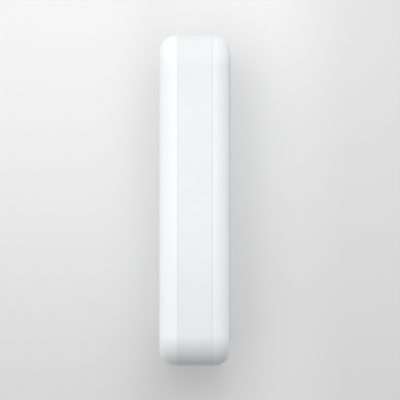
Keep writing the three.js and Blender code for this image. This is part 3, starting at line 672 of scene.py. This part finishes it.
# the bracket plate: screw slots, wire window, shallow pockets in its back, two tongues and the catch
def makeBracket():
    plate, thick = bracket["plate"], bracket["thick"]
    made = panel("wallBracket", back=0, front=-thick, backRoll=(0.3, 0.3), frontRoll=(0.45, 0.45),
                 rollCuts=4, cuts=12, **plate)
    slots, wires, tongues, hook = bracket["slots"], bracket["wires"], bracket["tongues"], bracket["hook"]
    for x in (-tongues["x"], tongues["x"]):
        low = (x - tongues["half"], tongues["front"], tongues["low"])
        high = (x + tongues["half"], tongues["back"], tongues["top"])
        tongue = block("tongue", low, high)
        roundEdges(tongue, lambda a, b: (a.z + b.z) / mm / 2 > tongues["low"] + 0.5, 0.3, 3)
        carve(made, tongue, "UNION")
    neck = block("neck", (-hook["half"], hook["reach"], hook["low"]), (hook["half"], -thick + 0.5, hook["high"]))
    carve(made, neck, "UNION")
    tip = block("tip", (-hook["half"], hook["reach"], hook["low"]), (hook["half"], hook["tipBack"], hook["tip"]))
    carve(made, tip, "UNION")

    def hookEdge(a, b):
        return all(p.y / mm < hook["tipBack"] + 0.01 for p in (a, b))
    roundEdges(made, hookEdge, 0.25, 2)
    for x in (-slots["x"], slots["x"]):
        for z in slots["z"]:
            slot = {"halfX": slots["radius"], "halfZ": slots["half"], "corner": slots["radius"] - 0.01, "at": (x, z)}
            carve(made, panel("cutter", back=1, front=-thick - 1, cuts=10, **slot))
            softenOutline(made, -thick, 0.5, cuts=2, **slot)
    carve(made, panel("cutter", back=1, front=-thick - 1, cuts=8, **wires))
    softenOutline(made, -thick, 0.3, cuts=2, **wires)
    for at, halfX, halfZ in bracket["pockets"]:
        pocket = {"halfX": halfX, "halfZ": halfZ, "corner": 1.5, "at": at}
        carve(made, panel("cutter", back=1, front=-bracket["pocketDepth"], cuts=5, **pocket))
        softenOutline(made, 0, 0.2, cuts=2, **pocket)
    return made


wallBracket = makeBracket()
print("flap and bracket made")

fixings = {
    "terminal": {"x": 6, "z": -27, "half": 4.5, "plateBack": -2.65,
                 "head": 3.0, "headBack": -1.25, "shank": 1.6, "foot": -7.45},
    "case": {"x": 13, "z": 51.5, "head": 2.0, "headBack": -4.0 + 0.05, "headHigh": 1.3, "shank": 1.0, "length": 11},
}


# a screw with a domed head; the drive is cut by the blades
def makeScrew(name, at, head, headBack, headHigh, shank, foot, blades, depth):
    seat = headBack - headHigh
    dome = [(head * math.sin(math.radians(a)), headBack - 0.3 * (1 - math.cos(math.radians(a))))
            for a in (0, 15, 30, 45, 60)]
    profile = dome + [(head - 0.25, headBack - 0.22), (head, headBack - 0.5), (head, seat + 0.1),
                      (head - 0.1, seat), (shank, seat)]
    y = seat - 0.3
    while y > foot + 0.6:
        profile += [(shank, y), (shank - 0.22, y - 0.25)]
        y -= 0.5
    screw = turned(name, profile + [(shank * 0.7, foot), (0, foot)], at, 40)
    for halfX, halfZ in blades:
        low = (at[0] - halfX, headBack - depth, at[1] - halfZ)
        carve(screw, block("cutter", low, (at[0] + halfX, headBack + 1, at[1] + halfZ)))
    return screw


def makeTerminal(hand, x):
    made = fixings["terminal"]
    z, half, back, floor = made["z"], made["half"], made["plateBack"], rear["floor"] + 0.05
    plate = block("terminalPlate" + hand, (x - half, floor, z - half), (x + half, back, z + half))
    roundEdges(plate, lambda a, b: True, 0.18, 2)
    carve(plate, holeCutter(1.9, back, floor - 1, (x, z), 0.15, 32))
    for z1 in (z - 3.9, z - 3.4, z + 3.4, z + 3.9):
        groove = block("cutter", (x - half - 1, back - 0.12, z1 - 0.12), (x + half + 1, back + 1, z1 + 0.12))
        carve(plate, groove)
    screw = makeScrew("terminalScrew" + hand, (x, z), made["head"], made["headBack"], 1.35, made["shank"], made["foot"],
                      [(4, 0.32)], 0.85)
    return plate, screw


terminals = [(hand, *makeTerminal(hand, x)) for hand, x in (("Left", -6), ("Right", 6))]
caseScrews = []
for name, x, z in (("upper_left", -13, 51.5), ("upper_right", 13, 51.5),
                   ("lower_left", -13, -51.5), ("lower_right", 13, -51.5)):
    made = fixings["case"]
    headBack = made["headBack"]
    screw = makeScrew("caseScrew_" + name, (x, z), made["head"], headBack, made["headHigh"], made["shank"],
                      headBack - made["headHigh"] - made["length"], [(0.3, 1.3), (1.3, 0.3)], 0.5)
    caseScrews.append((screw, "case_screw_" + name))

pairing = {"at": (0, -13), "radius": 2.4, "flange": 3.4, "back": -2.7, "flangeBack": -5.3, "front": -6.1, "dish": 0.25}


def makePairing():
    radius, back, dish = pairing["radius"], pairing["back"], pairing["dish"]
    profile = [(0, pairing["front"] - 0.3), (1.2, pairing["front"] - 0.3), (1.2, pairing["front"])]
    profile += [(pairing["flange"], pairing["front"]), (pairing["flange"], pairing["flangeBack"]),
                (radius, pairing["flangeBack"])]
    profile += arc((radius - 0.4, back - 0.4), 0.4, 0, 90, 5)
    profile += [(r, back - dish * (1 - (r / 2) ** 2)) for r in (1.6, 1.2, 0.8, 0.4, 0)]
    return turned("pairingButton", profile, pairing["at"], 48)


pairingButton = makePairing()
print("fixings and pairing button made")


# materials

def newGroup(name, inputs, outputs):
    group = bpy.data.node_groups.new(name, "ShaderNodeTree")
    for label, kind, value in inputs:
        socket = group.interface.new_socket(name=label, in_out="INPUT", socket_type=kind)
        if value is not None:
            socket.default_value = value
    for label, kind in outputs:
        group.interface.new_socket(name=label, in_out="OUTPUT", socket_type=kind)
    return group, group.nodes.new("NodeGroupInput"), group.nodes.new("NodeGroupOutput")


def addNode(tree, kind, **settings):
    node = tree.nodes.new(kind)
    for key, value in settings.items():
        if key in node.inputs:
            node.inputs[key].default_value = value
        else:
            setattr(node, key, value)
    return node


def mathNode(tree, operation, first, second):
    node = tree.nodes.new("ShaderNodeMath")
    node.operation = operation
    for socket, value in zip(node.inputs, (first, second)):
        if isinstance(value, (int, float)):
            socket.default_value = value
        else:
            tree.links.new(value, socket)
    return node.outputs[0]


# fine moulded texture: a height for a bump, and a slow mottle about zero
def makeGrain():
    group, given, out = newGroup("mouldedGrain", [
        ("Place", "NodeSocketVector", None), ("Size", "NodeSocketFloat", 0.2), ("Mottle Size", "NodeSocketFloat", 14.0),
    ], [("Height", "NodeSocketFloat"), ("Mottle", "NodeSocketFloat")])
    fine = addNode(group, "ShaderNodeTexNoise", Detail=3.0, Roughness=0.6)
    slow = addNode(group, "ShaderNodeTexNoise", Detail=4.0, Roughness=0.5)
    group.links.new(given.outputs["Place"], fine.inputs["Vector"])
    group.links.new(given.outputs["Place"], slow.inputs["Vector"])
    group.links.new(mathNode(group, "DIVIDE", 1000.0, given.outputs["Size"]), fine.inputs["Scale"])
    group.links.new(mathNode(group, "DIVIDE", 1000.0, given.outputs["Mottle Size"]), slow.inputs["Scale"])
    group.links.new(fine.outputs["Fac"], out.inputs["Height"])
    group.links.new(mathNode(group, "SUBTRACT", slow.outputs["Fac"], 0.5), out.inputs["Mottle"])
    return group


# faint handling marks: a mask of soft smears with fine specks in it
def makeMarks():
    group, given, out = newGroup("handlingMarks", [
        ("Place", "NodeSocketVector", None), ("Smear Size", "NodeSocketFloat", 22.0), ("Cover", "NodeSocketFloat", 0.4),
    ], [("Mask", "NodeSocketFloat")])
    smear = addNode(group, "ShaderNodeTexNoise", Detail=5.0, Roughness=0.62, Distortion=0.7)
    speck = addNode(group, "ShaderNodeTexNoise", Detail=2.0, Roughness=0.5, Scale=1900.0)
    group.links.new(given.outputs["Place"], smear.inputs["Vector"])
    group.links.new(given.outputs["Place"], speck.inputs["Vector"])
    group.links.new(mathNode(group, "DIVIDE", 1000.0, given.outputs["Smear Size"]), smear.inputs["Scale"])
    edge = mathNode(group, "SUBTRACT", 1.0, given.outputs["Cover"])
    spread = addNode(group, "ShaderNodeMapRange", interpolation_type="SMOOTHSTEP")
    group.links.new(smear.outputs["Fac"], spread.inputs["Value"])
    group.links.new(mathNode(group, "SUBTRACT", edge, 0.14), spread.inputs["From Min"])
    group.links.new(mathNode(group, "ADD", edge, 0.14), spread.inputs["From Max"])
    broken = mathNode(group, "ADD", 0.6, mathNode(group, "MULTIPLY", speck.outputs["Fac"], 0.7))
    group.links.new(mathNode(group, "MULTIPLY", spread.outputs["Result"], broken), out.inputs["Mask"])
    return group


# brushed metal: a height drawn out along one axis
def makeBrushed():
    group, given, out = newGroup("brushedMetal", [
        ("Place", "NodeSocketVector", None), ("Line", "NodeSocketFloat", 0.06),
    ], [("Height", "NodeSocketFloat"), ("Streak", "NodeSocketFloat")])
    stretch = addNode(group, "ShaderNodeMapping")
    stretch.inputs["Scale"].default_value = (0.04, 1.0, 1.0)
    lines = addNode(group, "ShaderNodeTexNoise", Detail=4.0, Roughness=0.7)
    group.links.new(given.outputs["Place"], stretch.inputs["Vector"])
    group.links.new(stretch.outputs["Vector"], lines.inputs["Vector"])
    group.links.new(mathNode(group, "DIVIDE", 1000.0, given.outputs["Line"]), lines.inputs["Scale"])
    group.links.new(lines.outputs["Fac"], out.inputs["Height"])
    group.links.new(mathNode(group, "SUBTRACT", lines.outputs["Fac"], 0.5), out.inputs["Streak"])
    return group


mouldedGrain, handlingMarks, brushedMetal = makeGrain(), makeMarks(), makeBrushed()


def useGroup(tree, group, place, **settings):
    node = tree.nodes.new("ShaderNodeGroup")
    node.node_tree = group
    tree.links.new(place, node.inputs["Place"])
    for key, value in settings.items():
        node.inputs[key.replace("_", " ")].default_value = value
    return node


def newMaterial(name, **settings):
    material = bpy.data.materials.new(name)
    material.use_nodes = True
    tree = material.node_tree
    shader = tree.nodes["Principled BSDF"]
    for key, value in settings.items():
        shader.inputs[key.replace("_", " ")].default_value = value
    place = tree.nodes.new("ShaderNodeTexCoord").outputs["Object"]
    return material, tree, shader, place


# a colour that drifts between two values with a mask
def drift(tree, shader, mask, colour, other, low=-0.2, high=0.2):
    spread = addNode(tree, "ShaderNodeMapRange")
    spread.inputs["From Min"].default_value = low
    spread.inputs["From Max"].default_value = high
    tree.links.new(mask, spread.inputs["Value"])
    mix = tree.nodes.new("ShaderNodeMix")
    mix.data_type = "RGBA"
    mix.inputs["A"].default_value = (*colour, 1)
    mix.inputs["B"].default_value = (*other, 1)
    tree.links.new(spread.outputs["Result"], mix.inputs["Factor"])
    tree.links.new(mix.outputs["Result"], shader.inputs["Base Color"])
    return mix


def bump(tree, shader, height, depth, strength=1.0):
    node = addNode(tree, "ShaderNodeBump")
    node.inputs["Strength"].default_value = strength
    node.inputs["Distance"].default_value = depth * mm
    tree.links.new(height, node.inputs["Height"])
    tree.links.new(node.outputs["Normal"], shader.inputs["Normal"])


def roughen(tree, shader, base, *parts):
    total = base
    for mask, amount in parts:
        total = mathNode(tree, "ADD", total, mathNode(tree, "MULTIPLY", mask, amount))
    tree.links.new(total, shader.inputs["Roughness"])


# moulded plastic or rubber: two close colours, a grain, handling marks
def moulded(name, colour, other, rough, grain=0.22, grainDepth=0.004, markRough=0.1, markCover=0.4,
            mottleSize=14.0, **settings):
    material, tree, shader, place = newMaterial(name, **settings)
    texture = useGroup(tree, mouldedGrain, place, Size=grain, Mottle_Size=mottleSize)
    marks = useGroup(tree, handlingMarks, place, Cover=markCover)
    drift(tree, shader, texture.outputs["Mottle"], colour, other)
    roughen(tree, shader, rough, (texture.outputs["Mottle"], 0.12), (marks.outputs["Mask"], markRough))
    bump(tree, shader, texture.outputs["Height"], grainDepth)
    return material


# plated or brushed metal
def metal(name, colour, other, rough, line=0.06, lineDepth=0.002, **settings):
    material, tree, shader, place = newMaterial(name, Metallic=1.0, **settings)
    streaks = useGroup(tree, brushedMetal, place, Line=line)
    marks = useGroup(tree, handlingMarks, place, Smear_Size=5.0)
    drift(tree, shader, streaks.outputs["Streak"], colour, other)
    roughen(tree, shader, rough, (streaks.outputs["Streak"], 0.3), (marks.outputs["Mask"], 0.14))
    bump(tree, shader, streaks.outputs["Height"], lineDepth)
    return material


shellWhite = moulded("satinWhite", (0.875, 0.88, 0.885), (0.855, 0.86, 0.87), 0.38)
rearWhite = moulded("satinWhiteRear", (0.825, 0.835, 0.85), (0.805, 0.815, 0.83), 0.4)
frameWhite = moulded("satinWhiteCool", (0.785, 0.80, 0.82), (0.765, 0.78, 0.80), 0.42)


# polished plastic or glass that lets some light through
def polished(name, colour, rough, transmission, markRough=0.07, **settings):
    material, tree, shader, place = newMaterial(name, Transmission_Weight=transmission, **settings)
    marks = useGroup(tree, handlingMarks, place, Cover=0.42, Smear_Size=9.0)
    texture = useGroup(tree, mouldedGrain, place, Size=1.6, Mottle_Size=6.0)
    drift(tree, shader, texture.outputs["Mottle"], colour, tuple(v * 0.88 for v in colour))
    roughen(tree, shader, rough, (marks.outputs["Mask"], markRough))
    bump(tree, shader, texture.outputs["Height"], 0.0015)
    return material


# milky plastic: light goes a short way in
def milky(name, colour, other, rough, depth, **settings):
    material = moulded(name, colour, other, rough, grain=0.12, grainDepth=0.002, Subsurface_Weight=0.35, **settings)
    shader = material.node_tree.nodes["Principled BSDF"]
    shader.inputs["Subsurface Radius"].default_value = (depth * mm, depth * mm, depth * 0.8 * mm)
    shader.inputs["Subsurface Scale"].default_value = 1.0
    return material


# green solder mask with copper runs under it and bright pads
def makeBoard():
    material, tree, shader, place = newMaterial("solderMask", Coat_Weight=0.3)
    lay = addNode(tree, "ShaderNodeMapping")
    lay.inputs["Rotation"].default_value = (quarter, 0, 0)
    tree.links.new(place, lay.inputs["Vector"])
    runs = addNode(tree, "ShaderNodeTexBrick", Scale=1.0 / (1.1 * mm * 4), offset=0.5)
    runs.inputs["Mortar Size"].default_value = 0.035
    runs.inputs["Color1"].default_value = (0, 0, 0, 1)
    runs.inputs["Color2"].default_value = (0.25, 0.25, 0.25, 1)
    runs.inputs["Mortar"].default_value = (1, 1, 1, 1)
    pads = addNode(tree, "ShaderNodeTexVoronoi", Scale=1.0 / (3.2 * mm), Randomness=0.7)
    for pattern in (runs, pads):
        tree.links.new(lay.outputs["Vector"], pattern.inputs["Vector"])
    spot = mathNode(tree, "LESS_THAN", pads.outputs["Distance"], 0.16)
    copper = tree.nodes.new("ShaderNodeMix")
    copper.data_type = "RGBA"
    copper.inputs["A"].default_value = (0.015, 0.10, 0.045, 1)
    copper.inputs["B"].default_value = (0.06, 0.24, 0.09, 1)
    tree.links.new(runs.outputs["Color"], copper.inputs["Factor"])
    bright = tree.nodes.new("ShaderNodeMix")
    bright.data_type = "RGBA"
    bright.inputs["B"].default_value = (0.72, 0.66, 0.48, 1)
    tree.links.new(copper.outputs["Result"], bright.inputs["A"])
    tree.links.new(spot, bright.inputs["Factor"])
    tree.links.new(bright.outputs["Result"], shader.inputs["Base Color"])
    tree.links.new(spot, shader.inputs["Metallic"])
    roughen(tree, shader, 0.34, (spot, 0.1))
    bump(tree, shader, mathNode(tree, "ADD", runs.outputs["Color"], spot), 0.03)
    return material


# closed-cell foam
def makeFoam():
    material, tree, shader, place = newMaterial("cellFoam")
    cells = addNode(tree, "ShaderNodeTexVoronoi", Scale=1.0 / (0.45 * mm))
    tree.links.new(place, cells.inputs["Vector"])
    drift(tree, shader, cells.outputs["Distance"], (0.05, 0.05, 0.055), (0.15, 0.15, 0.16), 0.0, 0.8)
    roughen(tree, shader, 0.8, (cells.outputs["Distance"], 0.15))
    bump(tree, shader, cells.outputs["Distance"], 0.1)
    return material


# blank printed stock: paper with a thin frame line
def makeLabel():
    material, tree, shader, place = newMaterial("blankLabel")
    fibres = useGroup(tree, mouldedGrain, place, Size=0.18, Mottle_Size=3.0)
    low, high = edges("rating_label")
    parts = addNode(tree, "ShaderNodeSeparateXYZ")
    tree.links.new(place, parts.inputs[0])
    middleZ, halfZ, halfX = (low[2] + high[2]) / 2 * mm, (high[2] - low[2]) / 2 * mm, high[0] * mm
    across = mathNode(tree, "SUBTRACT", mathNode(tree, "ABSOLUTE", parts.outputs["X"], 0), halfX)
    fromMiddle = mathNode(tree, "ABSOLUTE", mathNode(tree, "SUBTRACT", parts.outputs["Z"], middleZ), 0)
    along = mathNode(tree, "SUBTRACT", fromMiddle, halfZ)
    inwards = mathNode(tree, "MAXIMUM", across, along)
    line = mathNode(tree, "COMPARE", inwards, -0.9 * mm)
    line.node.inputs[2].default_value = 0.12 * mm
    mix = drift(tree, shader, fibres.outputs["Mottle"], (0.86, 0.86, 0.84), (0.80, 0.80, 0.775))
    ink = tree.nodes.new("ShaderNodeMix")
    ink.data_type = "RGBA"
    ink.inputs["B"].default_value = (0.2, 0.2, 0.21, 1)
    tree.links.new(mix.outputs["Result"], ink.inputs["A"])
    tree.links.new(line, ink.inputs["Factor"])
    tree.links.new(ink.outputs["Result"], shader.inputs["Base Color"])
    roughen(tree, shader, 0.6, (fibres.outputs["Mottle"], 0.2))
    bump(tree, shader, fibres.outputs["Height"], 0.01)
    return material


finishes = {
    "white_shell": shellWhite,
    "inner_plastic": moulded("darkTextured", (0.155, 0.165, 0.175), (0.12, 0.128, 0.138),
                             0.52, grain=0.35, grainDepth=0.02),
    "bracket_plastic": moulded("greyBracket", (0.60, 0.615, 0.63), (0.54, 0.555, 0.57),
                               0.5, grain=0.35, grainDepth=0.012),
    "smoked_window": polished("smokedPane", (0.012, 0.012, 0.015), 0.035, 0.5, 0.05, IOR=1.46),
    "lens_glass": polished("coatedGlass", (0.9, 0.93, 0.97), 0.01, 1.0, 0.03, IOR=1.52),
    "black_trim": moulded("satinBlack", (0.022, 0.022, 0.024), (0.035, 0.035, 0.038),
                          0.3, grain=0.12, grainDepth=0.003),
    "chip": moulded("chipPackage", (0.035, 0.035, 0.038), (0.055, 0.055, 0.06), 0.45, grain=0.08, grainDepth=0.004),
    "diffuser": milky("frostedRing", (0.80, 0.82, 0.84), (0.765, 0.79, 0.815), 0.46, 1.5),
    "lens_film": milky("milkyFilm", (0.86, 0.87, 0.88), (0.82, 0.835, 0.85), 0.36, 1.0),
    "silicone": moulded("greySilicone", (0.16, 0.17, 0.18), (0.20, 0.21, 0.22),
                        0.68, grain=0.3, grainDepth=0.008, markRough=0.14),
    "white_rubber": moulded("whiteRubber", (0.80, 0.81, 0.825), (0.76, 0.77, 0.79), 0.6, grain=0.3, grainDepth=0.008),
    "circuit_board": makeBoard(),
    "tinned": metal("tinPlate", (0.74, 0.75, 0.76), (0.62, 0.63, 0.64), 0.3, line=0.1),
    "brass": metal("platedBrass", (0.66, 0.50, 0.23), (0.5, 0.36, 0.15), 0.27),
    "steel": metal("zincPlate", (0.62, 0.64, 0.66), (0.5, 0.52, 0.54), 0.32),
    "aluminium": metal("rolledSheet", (0.72, 0.73, 0.75), (0.64, 0.65, 0.67), 0.36, line=0.05),
    "cell_wrap": moulded("shrinkWrap", (0.05, 0.16, 0.36), (0.07, 0.2, 0.42),
                         0.22, grain=2.4, grainDepth=0.06, Coat_Weight=0.25),
    "foam": makeFoam(),
    "label": makeLabel(),
}
finishes["lens_glass"].node_tree.nodes["Principled BSDF"].inputs["Thin Film Thickness"].default_value = 330
finishes["lens_glass"].node_tree.nodes["Principled BSDF"].inputs["Thin Film IOR"].default_value = 1.38
print("finishes mixed")


def finish(piece, material):
    piece.data.materials.clear()
    piece.data.materials.append(material)


# CAD parts that keep their own mesh
for row in frame["record"]["subparts"]:
    finish(nodes[row["node"]], finishes[row["material_slot"]])


# body, material slot and the nodes it stands for, of each new piece
def settle(piece, body, slot, *stoodFor, material=None):
    if body:
        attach(piece, body)
    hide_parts(*stoodFor)
    finish(piece, material or finishes[slot])
    smooth(piece)


settle(frontCover, "housing", "white_shell", "front_cover")
settle(midFrame, "housing", "white_shell", "mid_frame", material=frameWhite)
settle(rearCover, "housing", "white_shell", "rear_cover", material=rearWhite)
settle(cameraWindow, "housing", "smoked_window", "camera_window")
settle(lensTrimRing, "housing", "black_trim", "lens_trim_ring")
settle(frontLens, "housing", "lens_glass", "front_lens")
settle(lensBarrel, "housing", "black_trim", "lens_barrel")
settle(pirLens, "housing", "lens_film", "pir_lens")
settle(lightRing, "housing", "diffuser", "light_ring")
settle(buttonCap, "button", "white_shell", "button_cap")
settle(usbFlap, "flap", "white_rubber", "usb_flap")
settle(wallBracket, "bracket", "bracket_plastic", "wall_bracket")
settle(pairingButton, "pairing", "silicone", "pairing_button")
for hand, plate, screw in terminals:
    settle(plate, "housing", "brass", "terminal_plate_" + hand.lower())
    settle(screw, "housing", "brass", "terminal_screw_" + hand.lower())
for screw, node in caseScrews:
    settle(screw, "housing", "steel", node)
settle(latchSpring, None, "steel", "latch_spring")
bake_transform(latchSpring)
print("pieces settled")


# camera, backdrop and light

camera = {"lens": 200, "distance": 893, "aimY": -12.0, "aimZ": 0.2}
cameraPlace = [camera[key] * mm for key in ("distance", "aimY", "aimZ")]
bpy.ops.object.camera_add(location=cameraPlace, rotation=(quarter, 0, quarter))
bpy.context.object.data.lens = camera["lens"]
bpy.context.scene.camera = bpy.context.object

# the backdrop's colour is painted light and shade: a painted falloff, brighter at the top and on the left, and painted
# contact shade beside the housing
backdrop = {
    "x": -24.5,
    "half": 600,
    # painted light falloff: the brightness at the foot, the middle and the top of each side is painted into the colour
    "left": (0.71, 0.806, 0.914),    # brightness at the foot, the middle and the top
    "right": (0.677, 0.731, 0.785),
    # painted shade across the backdrop: darker beside the housing's left edge as a painted contact shadow, lighter to
    # its right as painted light
    "paintedShadeAndLight": ((0.0, 0.93), (0.2, 0.93), (0.30, 0.92), (0.36, 0.893), (0.39, 0.885), (0.55, 0.93),
                 (0.60, 0.965), (0.68, 1.0), (0.76, 0.985), (0.88, 0.93)),    # place across, strength
    "span": 80,                   # the middle of the view to its edge
    # the backdrop also glows with its painted light and shade
    "glow": 0.15,
}
selectNothing()
bpy.ops.mesh.primitive_plane_add(size=2 * backdrop["half"] * mm, rotation=(0, quarter, 0),
                                 location=(backdrop["x"] * mm, 0, 0))
backPlane = bpy.context.object
backPlane.name = "backdrop"
applyPlace(backPlane)
backPlane.visible_shadow = False
backPlane.visible_diffuse = False
backPlane.visible_glossy = False
backPlane.visible_transmission = False

paper, paperTree, paperShader, paperPlace = newMaterial("paleBackdrop", Roughness=1.0)
paperShader.inputs["Specular IOR Level"].default_value = 0.0
split = addNode(paperTree, "ShaderNodeSeparateXYZ")
paperTree.links.new(paperPlace, split.inputs[0])


# a painted light falloff from the foot to the top of one side of the backdrop
def paintedFalloffRamp(values):
    spread = addNode(paperTree, "ShaderNodeMapRange")
    spread.inputs["From Min"].default_value = -backdrop["span"] * mm
    spread.inputs["From Max"].default_value = backdrop["span"] * mm
    paperTree.links.new(split.outputs["Z"], spread.inputs["Value"])
    ramp = paperTree.nodes.new("ShaderNodeValToRGB")
    ramp.color_ramp.elements.new(0.5)
    for element, value in zip(ramp.color_ramp.elements, values):
        element.color = (value, value, value, 1)
    paperTree.links.new(spread.outputs["Result"], ramp.inputs["Fac"])
    return ramp.outputs["Color"]


across = addNode(paperTree, "ShaderNodeMapRange")
across.inputs["From Min"].default_value = (camera["aimY"] - backdrop["span"]) * mm
across.inputs["From Max"].default_value = (camera["aimY"] + backdrop["span"]) * mm
paperTree.links.new(split.outputs["Y"], across.inputs["Value"])
# the painted falloff, blended from the left side to the right
paintedFalloff = paperTree.nodes.new("ShaderNodeMix")
paintedFalloff.data_type = "RGBA"
paperTree.links.new(across.outputs["Result"], paintedFalloff.inputs["Factor"])
paperTree.links.new(paintedFalloffRamp(backdrop["left"]), paintedFalloff.inputs["A"])
paperTree.links.new(paintedFalloffRamp(backdrop["right"]), paintedFalloff.inputs["B"])
# painted contact shade and painted light across the backdrop
paintedShadeRamp = paperTree.nodes.new("ShaderNodeValToRGB")
for place, value in backdrop["paintedShadeAndLight"][1:-1]:
    paintedShadeRamp.color_ramp.elements.new(place)
for element, (place, value) in zip(paintedShadeRamp.color_ramp.elements, backdrop["paintedShadeAndLight"]):
    element.position = place
    element.color = (value, value, value, 1)
paperTree.links.new(across.outputs["Result"], paintedShadeRamp.inputs["Fac"])
paintedBackdropLight = addNode(paperTree, "ShaderNodeVectorMath", operation="MULTIPLY")
paperTree.links.new(paintedFalloff.outputs["Result"], paintedBackdropLight.inputs[0])
paperTree.links.new(paintedShadeRamp.outputs["Color"], paintedBackdropLight.inputs[1])
# the painted light and shade make the backdrop's colour and its glow
paperTree.links.new(paintedBackdropLight.outputs[0], paperShader.inputs["Base Color"])
paperTree.links.new(paintedBackdropLight.outputs[0], paperShader.inputs["Emission Color"])
paperShader.inputs["Emission Strength"].default_value = backdrop["glow"]
clear = paperTree.nodes.new("ShaderNodeBsdfTransparent")
facing = paperTree.nodes.new("ShaderNodeMixShader")
paperTree.links.new(paperTree.nodes.new("ShaderNodeNewGeometry").outputs["Backfacing"], facing.inputs["Fac"])
paperTree.links.new(paperShader.outputs[0], facing.inputs[1])
paperTree.links.new(clear.outputs[0], facing.inputs[2])
paperTree.links.new(facing.outputs[0], paperTree.nodes["Material Output"].inputs["Surface"])
backPlane.data.materials.append(paper)

# a white card that only bounced light meets, so the dark window leaves no dark patch on the backdrop
cardSize = {"ahead": 0.3, "share": 0.47}    # share of the window's width and height, as a radius
windowLow, windowHigh = edges("camera_window")
selectNothing()
cardPlace = (0, (windowLow[1] - cardSize["ahead"]) * mm, (windowLow[2] + windowHigh[2]) / 2 * mm)
bpy.ops.mesh.primitive_circle_add(vertices=48, radius=cardSize["share"], fill_type="NGON",
                                  rotation=(quarter, 0, 0), location=cardPlace)
card = bpy.context.object
card.name = "whiteCard"
card.scale = ((windowHigh[0] - windowLow[0]) * mm, (windowHigh[2] - windowLow[2]) * mm, 1)
applyPlace(card)
card.visible_camera = card.visible_glossy = card.visible_transmission = card.visible_shadow = False
finish(card, newMaterial("cardPaper", Roughness=1.0, Base_Color=(0.9, 0.9, 0.9, 1))[0])

# soft light that comes mostly from the camera's side, above and to its left
sky = {
    "base": 0.835,
    "pull": (0.0, -0.15, 0.41),    # how much the sky brightens along each axis
    "least": 0.05,
    "most": 1.1,
    "below": -0.5,                # from this slope down the light drops off faster
    "drop": 0.8,
    "seen": 0.80,
}
world = bpy.data.worlds.new("softBox")
bpy.context.scene.world = world
world.use_nodes = True
skyTree = world.node_tree
skyShader = skyTree.nodes["Background"]
toSky = skyTree.nodes.new("ShaderNodeTexCoord").outputs["Generated"]
slope = addNode(skyTree, "ShaderNodeVectorMath", operation="DOT_PRODUCT")
skyTree.links.new(toSky, slope.inputs[0])
slope.inputs[1].default_value = sky["pull"]
level = mathNode(skyTree, "MINIMUM", mathNode(skyTree, "ADD", slope.outputs["Value"], sky["base"]), sky["most"])
skyParts = addNode(skyTree, "ShaderNodeSeparateXYZ")
skyTree.links.new(toSky, skyParts.inputs[0])
under = mathNode(skyTree, "MINIMUM", mathNode(skyTree, "SUBTRACT", skyParts.outputs["Z"], sky["below"]), 0)
level = mathNode(skyTree, "ADD", level, mathNode(skyTree, "MULTIPLY", under, sky["drop"]))
level = mathNode(skyTree, "MAXIMUM", level, sky["least"])
plain = addNode(skyTree, "ShaderNodeMix", data_type="FLOAT")
skyTree.links.new(skyTree.nodes.new("ShaderNodeLightPath").outputs["Is Camera Ray"], plain.inputs["Factor"])
skyTree.links.new(level, plain.inputs["A"])
plain.inputs["B"].default_value = sky["seen"]
skyTree.links.new(plain.outputs["Result"], skyShader.inputs["Color"])

# a small soft box close to the housing's side
keyLight = {"place": (173, -18, 30), "aim": (23, -14, 0), "size": 140, "power": 0.082}
selectNothing()
bpy.ops.object.light_add(type="AREA", location=[v * mm for v in keyLight["place"]])
key = bpy.context.object
key.name = "keyLight"
key.data.shape = "DISK"
key.data.size = keyLight["size"] * mm
key.data.energy = keyLight["power"]
key.visible_camera = False
aim = Vector(keyLight["aim"]) - Vector(keyLight["place"])
key.rotation_euler = aim.to_track_quat("-Z", "Y").to_euler()

bpy.context.scene.view_settings.view_transform = "Standard"
print("camera and light set")
